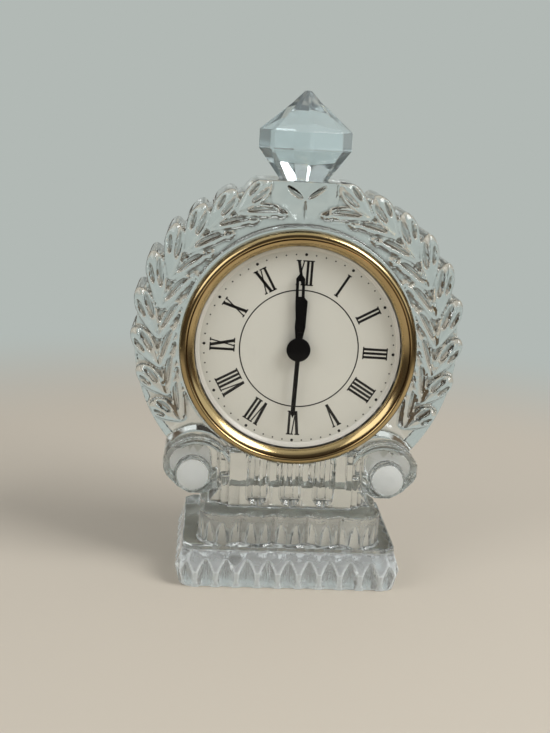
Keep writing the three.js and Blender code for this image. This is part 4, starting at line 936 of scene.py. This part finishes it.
knob = crosswise("knob_head", KNOB_RADIUS, KNOB_FRONT, KNOB_BACK, (KNOB_X, KNOB_Z), KNOB_SIDES)
edit(knob, "VERT", between_ribs)
bpy.ops.transform.resize(
    value=(RIB_SHARE, 1, RIB_SHARE), center_override=(KNOB_X * MM, 0, KNOB_Z * MM),
)
close_edit()
edit(knob, "FACE", lambda place, normal: normal.y > 0.9)
for share, sink in KNOB_DISH:
    bpy.ops.mesh.extrude_region_move(TRANSFORM_OT_translate={"value": (0, -sink * MM, 0)})
    bpy.ops.transform.resize(
        value=(share, 1, share), center_override=(KNOB_X * MM, 0, KNOB_Z * MM),
    )
close_edit()
softened(knob, 0.12)
shaft = cast_of("setting_knob", "knob_shaft")
edit(shaft, "VERT", lambda place: place.y > CUP_BACK)
bpy.ops.mesh.delete(type="VERT")
bpy.ops.mesh.select_all(action="SELECT")
bpy.ops.mesh.fill_holes(sides=0)
close_edit()
knob = join_all([knob, shaft], "knob_moulding")
dress(knob, black_abs, "knob")
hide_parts("setting_knob")

# Movement plates and train
# Two moulded plates, held by three screws, carry the wheels. The wheels and pinions are
# injection moulded in white acetal, which is slippery and a little waxy.
finish_nodes(
    grained("moulded_polystyrene", "#d6d1c7", 0.6, 0.015, roughness=0.5),
    "front_plate", "back_plate", "coil_bobbin",
)
finish_nodes(
    grained(
        "moulded_acetal", "#efebe2", 0.8, 0.006, roughness=0.32, subsurface_weight=0.2,
        subsurface_radius=(0.001, 0.001, 0.0008),
    ),
    "rotor", "fifth_wheel", "seconds_wheel", "third_wheel", "centre_wheel", "minute_arbor",
    "motion_wheel", "hour_wheel",
)
finish_nodes(
    grained(
        "nickel_plated_steel", "#b5b6b8", 0.25, 0.004, 0.04, metallic=1.0, roughness=0.3,
    ),
    "plate_screw_1", "plate_screw_2", "plate_screw_3", "contact_plus", "contact_minus",
    "quartz_can",
)
finish_nodes(
    grained("rolled_iron", "#8f9092", 0.4, 0.006, 0.08, metallic=1.0, roughness=0.42),
    "stator", "coil_core",
)

# Coil, circuit and cell
# The coil is wound with enamelled copper wire. The circuit board has a green solder mask, with
# the chip under a drop of black resin, and the cell is a plain-wrapped 1.5 V cell.
WIRE_PITCH = 0.3
WIRE_RELIEF = 0.05
WIRE_PAINTED_SHADE = "#5e2f17"
WIRE_COPPER = "#b8693a"

enamelled_wire, tree, shader = new_material(
    "enamelled_copper_wire", metallic=1.0, roughness=0.3,
)
where = add_node(tree, "ShaderNodeTexCoord")
turns = add_node(
    tree, "ShaderNodeTexWave", {"bands_direction": "X", "wave_profile": "SIN"},
    {"Vector": where.outputs["Object"], "Scale": math.tau / 20 * 1000 / WIRE_PITCH},
)
# Painted shade: the troughs between the turns of wire are tinted darker.
tone = add_node(
    tree, "ShaderNodeMix", {"data_type": "RGBA"},
    {0: turns.outputs["Fac"], 6: linear(WIRE_PAINTED_SHADE), 7: linear(WIRE_COPPER)},
)
ridges = add_node(
    tree, "ShaderNodeBump", {}, {"Distance": WIRE_RELIEF * MM, "Height": turns.outputs["Fac"]},
)
tree.links.new(tone.outputs[2], shader.inputs["Base Color"])
tree.links.new(ridges.outputs["Normal"], shader.inputs["Normal"])
finish_nodes(enamelled_wire, "coil_winding")
finish_nodes(
    grained("solder_masked_board", "#2c6a38", 1.2, 0.01, 0.12, roughness=0.35), "circuit_board",
)
finish_nodes(grained("cast_epoxy", "#131315", 1.5, 0.03, 0.1, roughness=0.25), "chip")
finish_nodes(
    grained("plastic_wrap", "#6c7176", 3.0, 0.01, 0.05, metallic=0.6, roughness=0.35),
    "battery_cell",
)

# Dial
# A thin aluminium disc sprayed with a matt cream enamel, which has the faint orange peel of
# sprayed paint. It lies on the movement's front plate.
finish_nodes(
    grained("sprayed_cream_enamel", "#dad9ce", 2.2, 0.006, 0.012, roughness=0.5), "dial",
)

# Dial print
# Numerals, dots and a thin circle, pad printed in black ink. The numerals are condensed and
# stand with their feet to the middle. The print sits a little aside and turned on the dial.
PRINT_TURN = 1.4
PRINT_PLACE = (0.4, 0, -0.3)
INK_BACK = -14.49
INK_FRONT = -14.54
INK_MIDDLE = (INK_FRONT + INK_BACK) / 2
NUMERAL_FOOT = 21.7
NUMERAL_HEAD = 30.2
SERIF = 0.42
SERIF_REACH = 0.32
DOT_CIRCLE = 32.1
DOT_SIDES = 20
HOUR_DOT = 0.5
MINUTE_DOT = 0.26
CIRCLE_RADIUS = 20.1
CIRCLE_LINE = 0.4
NUMERALS = ("XII", "I", "II", "III", "IIII", "V", "VI", "VII", "VIII", "IX", "X", "XI")

# A letter's width, its strokes as (head, foot, width) across, and whether its feet have serifs
LETTERS = {
    "I": (1.38, ((0.0, 0.0, 0.84),), True),
    "V": (2.8, ((-0.95, 0.02, 1.0), (0.95, 0.12, 0.42)), False),
    "X": (3.0, ((-0.95, 0.95, 1.0), (0.95, -0.95, 0.42)), True),
}


def stroke(head, foot, width, low, high):
    """One stroke of ink at twelve o'clock, from its foot to its head."""
    middle = CLOCK_Z + (low + high) / 2
    bar = block("stroke", (width, INK_BACK - INK_FRONT, high - low), (foot, INK_MIDDLE, middle))
    edit(bar, "VERT", lambda place: place.z > middle)
    bpy.ops.transform.translate(value=((head - foot) * MM, 0, 0))
    close_edit()
    return bar


letters = {}
for name, (cell, strokes, footed) in LETTERS.items():
    bars = []
    for head, foot, width in strokes:
        bars.append(stroke(head, foot, width, NUMERAL_FOOT, NUMERAL_HEAD))
        length = width + 2 * SERIF_REACH
        bars.append(stroke(head, head, length, NUMERAL_HEAD - SERIF, NUMERAL_HEAD))
        if footed:
            bars.append(stroke(foot, foot, length, NUMERAL_FOOT, NUMERAL_FOOT + SERIF))
    letters[name] = join_all(bars, "letter_" + name)

print_pieces = []


def printed(piece, clock_degrees, aside=0):
    """Copies a piece of print from twelve o'clock to its place round the dial."""
    about = Matrix.Translation((0, 0, CLOCK_Z))
    turn = Matrix.Rotation(math.radians(clock_degrees + PRINT_TURN), 4, "Y")
    print_pieces.append(copied(
        piece, piece.name, about @ turn @ about.inverted() @ Matrix.Translation((aside, 0, 0)),
    ))


for hour, numeral in enumerate(NUMERALS):
    along = -sum(LETTERS[letter][0] for letter in numeral) / 2
    for letter in numeral:
        cell = LETTERS[letter][0]
        printed(letters[letter], 30 * hour, along + cell / 2)
        along += cell
for letter in letters.values():
    bpy.data.objects.remove(letter)
for radius, minutes in (
    (HOUR_DOT, range(0, 60, 5)), (MINUTE_DOT, [m for m in range(60) if m % 5]),
):
    dot = crosswise("dot", radius, INK_FRONT, INK_BACK, (0, CLOCK_Z + DOT_CIRCLE), DOT_SIDES)
    for minute in minutes:
        printed(dot, 6 * minute)
    bpy.data.objects.remove(dot)
print_pieces.append(turned("circle", (
    (CIRCLE_RADIUS - CIRCLE_LINE / 2, INK_BACK), (CIRCLE_RADIUS + CIRCLE_LINE / 2, INK_BACK),
    (CIRCLE_RADIUS + CIRCLE_LINE / 2, INK_FRONT), (CIRCLE_RADIUS - CIRCLE_LINE / 2, INK_FRONT),
)))
dial_print = join_all(print_pieces, "dial_print")
edit(dial_print, "VERT", lambda place: True)
bpy.ops.transform.translate(value=Vector(PRINT_PLACE) * MM)
close_edit()
printing_ink = grained("pad_printing_ink", "#0d0d0e", 0.4, 0.002, 0.1, roughness=0.4)
dress(dial_print, printing_ink)

# Hands
# Stamped from thin brass and sprayed satin black. Hour and minute hands are batons with a
# window near the tip. The second hand has the round cap that hides the arbors.
BATON_FROM = CLOCK_Z + 4.5
HANDS = (
    ("hour_hand", "hour", "hour_baton", 1.12), ("minute_hand", "minute", "minute_baton", 1.15),
    ("second_hand", "seconds", "second_baton", 1.0),
)

satin_black = grained(
    "satin_black_lacquer", "#060607", 0.3, 0.002, 0.1, roughness=0.5, specular_ior_level=0.15,
)
for node, body, piece_name, fullness in HANDS:
    hand = cast_of(node, piece_name)
    edit(hand, "VERT", lambda place: place.z > BATON_FROM)
    bpy.ops.transform.resize(value=(fullness, 1, 1), center_override=(0, 0, 0))
    close_edit()
    softened(hand, 0.07)
    dress(hand, satin_black, body)
    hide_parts(node)

# Dial ring
# A spun aluminium ring that slopes from the dial's edge up to the lens and hides the gap. It
# is sprayed pale cream with a soft gloss, and mirrors the dial's edge a little.
RING_PROFILE = (
    (33.2, -14.5), (36.1, -14.5), (36.1, -15.7), (34.6, -15.7), (34.35, -15.6), (33.3, -14.62),
)

ring = turned("ring_spinning", RING_PROFILE)
smooth(ring, 40)
glossy_enamel = grained("glossy_cream_enamel", "#dcd9cf", 2.5, 0.003, 0.01, roughness=0.22)
dress(ring, glossy_enamel)
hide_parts("dial_ring")

# Lens
# A domed mineral glass, held between the ring and the bezel's lip. It is clear and thin, so it
# shows only as reflections, faint at the middle and stronger towards its edge.
LENS_SEAT = -16.9
LENS_EDGE = 34.6
LENS_RADIUS = 36.1
LENS_DOME = 3.7
LENS_THICKNESS = 1.2
LENS_STEPS = 14
LENS_IOR = 1.22

sphere = (LENS_EDGE ** 2 + LENS_DOME ** 2) / (2 * LENS_DOME)
outside = []
for i in range(LENS_STEPS + 1):
    radius = LENS_EDGE * i / LENS_STEPS
    drop = sphere - math.sqrt(sphere ** 2 - radius ** 2)
    outside.append((radius, LENS_SEAT - LENS_DOME + drop))
inside = [(radius, y + LENS_THICKNESS) for radius, y in reversed(outside)]
rim = [(LENS_RADIUS, LENS_SEAT), (LENS_RADIUS, LENS_SEAT + LENS_THICKNESS)]
lens = turned("lens_glass", outside + rim + inside)
smooth(lens, 30)
mineral_glass, tree, shader = new_material(
    "polished_mineral_glass", base_color=(1, 1, 1, 1), metallic=1.0, roughness=0.02,
)
back = add_node(tree, "ShaderNodeNewGeometry")
index = add_node(
    tree, "ShaderNodeMapRange", {},
    {"Value": back.outputs["Backfacing"], "To Min": LENS_IOR, "To Max": 1 / LENS_IOR},
)
gloss = add_node(tree, "ShaderNodeFresnel", {}, {"IOR": index.outputs["Result"]})
tree.links.new(gloss.outputs["Fac"], shader.inputs["Alpha"])
dress(lens, mineral_glass)
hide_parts("lens")

# Bezel
# Spun brass, polished and lacquered: a round outer band, a fine groove, and a slope down to
# the lens. Lacquer yellows, and the groove is painted a darker brown.
GROOVE_RADIUS = 37.375
GROOVE_SHADE = 0.25
TARNISH_SIZE = 9.0
BEZEL_SIDES = 160
BEZEL_PROFILE = (
    (36.4, -13.0), (40.0, -13.0), (40.0, -17.3), (39.93, -18.0), (39.72, -18.65),
    (39.38, -19.22), (38.95, -19.65), (38.45, -19.91), (37.95, -19.98), (37.66, -19.8),
    (37.56, -19.66), (37.4, -19.57), (37.24, -19.63), (37.14, -19.72), (36.95, -19.66),
    (36.2, -19.1), (35.6, -18.55), (35.15, -18.05), (34.95, -17.7), (34.9, -17.4),
    (34.9, -16.9), (36.4, -16.9),
)

brass_ring = turned("bezel_spinning", BEZEL_PROFILE, BEZEL_SIDES)
smooth(brass_ring, 40)
lacquered_brass, tree, shader = new_material("lacquered_brass", metallic=1.0, roughness=0.17)
where = add_node(tree, "ShaderNodeTexCoord")
centred = add_node(
    tree, "ShaderNodeMapping", {},
    {"Vector": where.outputs["Object"], "Location": (0, 0, -CLOCK_Z * MM), "Scale": (1, 0, 1)},
)
reach = add_node(tree, "ShaderNodeVectorMath", {"operation": "LENGTH"}, {0: centred.outputs[0]})
# The narrow band at the groove's radius is painted a darker brown.
groove = add_node(
    tree, "ShaderNodeMath", {"operation": "COMPARE"},
    {0: reach.outputs["Value"], 1: GROOVE_RADIUS * MM, 2: GROOVE_SHADE * MM},
)
tarnish = add_node(
    tree, "ShaderNodeTexNoise", {},
    {"Vector": where.outputs["Object"], "Scale": 1000 / TARNISH_SIZE, "Detail": 3.0},
)
clean = add_node(
    tree, "ShaderNodeMix", {"data_type": "RGBA"},
    {0: tarnish.outputs["Fac"], 6: linear("#ad9768"), 7: linear("#c4ad82")},
)
colour = add_node(
    tree, "ShaderNodeMix", {"data_type": "RGBA"},
    {0: groove.outputs[0], 6: clean.outputs[2], 7: linear("#62492a")},
)
tree.links.new(colour.outputs[2], shader.inputs["Base Color"])
dress(brass_ring, lacquered_brass)
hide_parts("bezel")

# Lamps, floor and backdrop
# A pale floor that fades into a grey-green wall, under soft studio light: a large lamp at the
# upper right and a weaker one at the left. Glass and brass also see a darker room all round.
FLOOR_COLOUR = "#cbc2b3"
WALL_COLOUR = "#b2b9b5"
ROOM_LIGHT = 0.42
FLOOR_FADE = (190, 420)
CEILING = ((0.62, WALL_COLOUR), (0.7, "#5d5850"), (0.78, "#565049"), (0.84, "#e2e5e2"))
ROOM_BEHIND = "#4a443d"
ROOM_SIDES = (
    ("X", -0.5, -0.66, "#57493a"), ("X", 0.5, 0.66, "#6b5d4c"), ("Y", -0.25, -0.6, ROOM_BEHIND),
)
WINDOW_COLOUR = "#f6faf9"
WINDOW_PLACE = (0.79, -0.45, 0.42)
WINDOW_EDGE = (0.42, 0.36)
FLOOR_SIZE = 6
FLOOR_DROP = 0.05
LAMPS = (
    ("key_lamp", (0.55, -0.35, 0.75), 0.45, 6.0), ("fill_lamp", (-0.7, -0.5, 0.6), 0.6, 2.5),
)


def seen_rays(tree):
    """One where the camera, a reflection or a refraction looks, and none for plain light."""
    ray = add_node(tree, "ShaderNodeLightPath")
    direct = add_node(
        tree, "ShaderNodeMath", {"operation": "MAXIMUM"},
        {0: ray.outputs["Is Camera Ray"], 1: ray.outputs["Is Glossy Ray"]},
    )
    return add_node(
        tree, "ShaderNodeMath", {"operation": "MAXIMUM"},
        {0: direct.outputs[0], 1: ray.outputs["Is Transmission Ray"]},
    ).outputs[0]


bpy.ops.mesh.primitive_plane_add(size=FLOOR_SIZE, location=(0, 0, -FLOOR_DROP * MM))
floor = started("floor")
floor_paint, tree, shader = new_material(
    "floor_paint", base_color=linear(FLOOR_COLOUR), roughness=0.6,
)
where = add_node(tree, "ShaderNodeTexCoord")
away = add_node(
    tree, "ShaderNodeVectorMath", {"operation": "LENGTH"}, {0: where.outputs["Object"]},
)
fade = add_node(
    tree, "ShaderNodeMapRange", {"interpolation_type": "SMOOTHSTEP"},
    {
        "Value": away.outputs["Value"], "From Min": FLOOR_FADE[0] * MM,
        "From Max": FLOOR_FADE[1] * MM,
    },
)
far = add_node(
    tree, "ShaderNodeMath", {"operation": "MULTIPLY"},
    {0: fade.outputs["Result"], 1: seen_rays(tree)},
)
ray = add_node(tree, "ShaderNodeLightPath")
reflected = add_node(
    tree, "ShaderNodeMath", {"operation": "SUBTRACT", "use_clamp": True},
    {0: ray.outputs["Is Glossy Ray"], 1: ray.outputs["Is Transmission Ray"]},
)
mirrored = add_node(
    tree, "ShaderNodeMix", {"data_type": "RGBA"},
    {0: reflected.outputs[0], 6: linear(WALL_COLOUR), 7: linear(ROOM_BEHIND)},
)
wall_tone = add_node(tree, "ShaderNodeEmission", {}, {"Color": mirrored.outputs[2]})
both = add_node(
    tree, "ShaderNodeMixShader", {},
    {0: far.outputs[0], 1: shader.outputs[0], 2: wall_tone.outputs[0]},
)
tree.links.new(both.outputs[0], tree.nodes["Material Output"].inputs["Surface"])
floor.data.materials.append(floor_paint)

for name, place, size, energy in LAMPS:
    bpy.ops.object.light_add(type="AREA", location=place)
    lamp = bpy.context.object
    lamp.name = name
    lamp.data.size = size
    lamp.data.energy = energy
    towards = Vector((0, 0, CLOCK_Z * MM)) - Vector(place)
    lamp.rotation_euler = towards.to_track_quat("-Z", "Y").to_euler()

world = bpy.data.worlds.new("room")
bpy.context.scene.world = world
world.use_nodes = True
tree = world.node_tree
light = tree.nodes["Background"]
light.inputs["Color"].default_value = (1, 1, 1, 1)
light.inputs["Strength"].default_value = ROOM_LIGHT
where = add_node(tree, "ShaderNodeTexCoord")
direction = add_node(tree, "ShaderNodeSeparateXYZ", {}, {"Vector": where.outputs["Generated"]})
height = add_node(
    tree, "ShaderNodeMapRange", {},
    {"Value": direction.outputs["Z"], "From Min": -1.0, "From Max": 1.0},
)
walls = add_node(tree, "ShaderNodeValToRGB", {}, {"Fac": height.outputs["Result"]})
stops = walls.color_ramp.elements
stops[0].position, stops[0].color = CEILING[0][0], linear(CEILING[0][1])
stops[1].position, stops[1].color = CEILING[-1][0], linear(CEILING[-1][1])
for position, colour in CEILING[1:-1]:
    stops.new(position).color = linear(colour)
room = walls.outputs["Color"]
for axis, low, high, colour in ROOM_SIDES:
    share = add_node(
        tree, "ShaderNodeMapRange", {},
        {"Value": direction.outputs[axis], "From Min": low, "From Max": high},
    )
    room = add_node(
        tree, "ShaderNodeMix", {"data_type": "RGBA"},
        {0: share.outputs["Result"], 6: room, 7: linear(colour)},
    ).outputs[2]
pane = add_node(
    tree, "ShaderNodeVectorMath", {"operation": "DISTANCE"},
    {0: where.outputs["Generated"], 1: WINDOW_PLACE},
)
window = add_node(
    tree, "ShaderNodeMapRange", {},
    {"Value": pane.outputs["Value"], "From Min": WINDOW_EDGE[0], "From Max": WINDOW_EDGE[1]},
)
room = add_node(
    tree, "ShaderNodeMix", {"data_type": "RGBA"},
    {0: window.outputs["Result"], 6: room, 7: linear(WINDOW_COLOUR)},
).outputs[2]
ray = add_node(tree, "ShaderNodeLightPath")
plain = add_node(
    tree, "ShaderNodeMix", {"data_type": "RGBA"},
    {0: ray.outputs["Is Camera Ray"], 6: room, 7: linear(WALL_COLOUR)},
)
backdrop = add_node(
    tree, "ShaderNodeBackground", {}, {"Color": plain.outputs[2], "Strength": 1.0},
)
both = add_node(
    tree, "ShaderNodeMixShader", {},
    {0: seen_rays(tree), 1: light.outputs[0], 2: backdrop.outputs[0]},
)
tree.links.new(both.outputs[0], tree.nodes["World Output"].inputs["Surface"])

bpy.context.scene.view_settings.view_transform = "Standard"
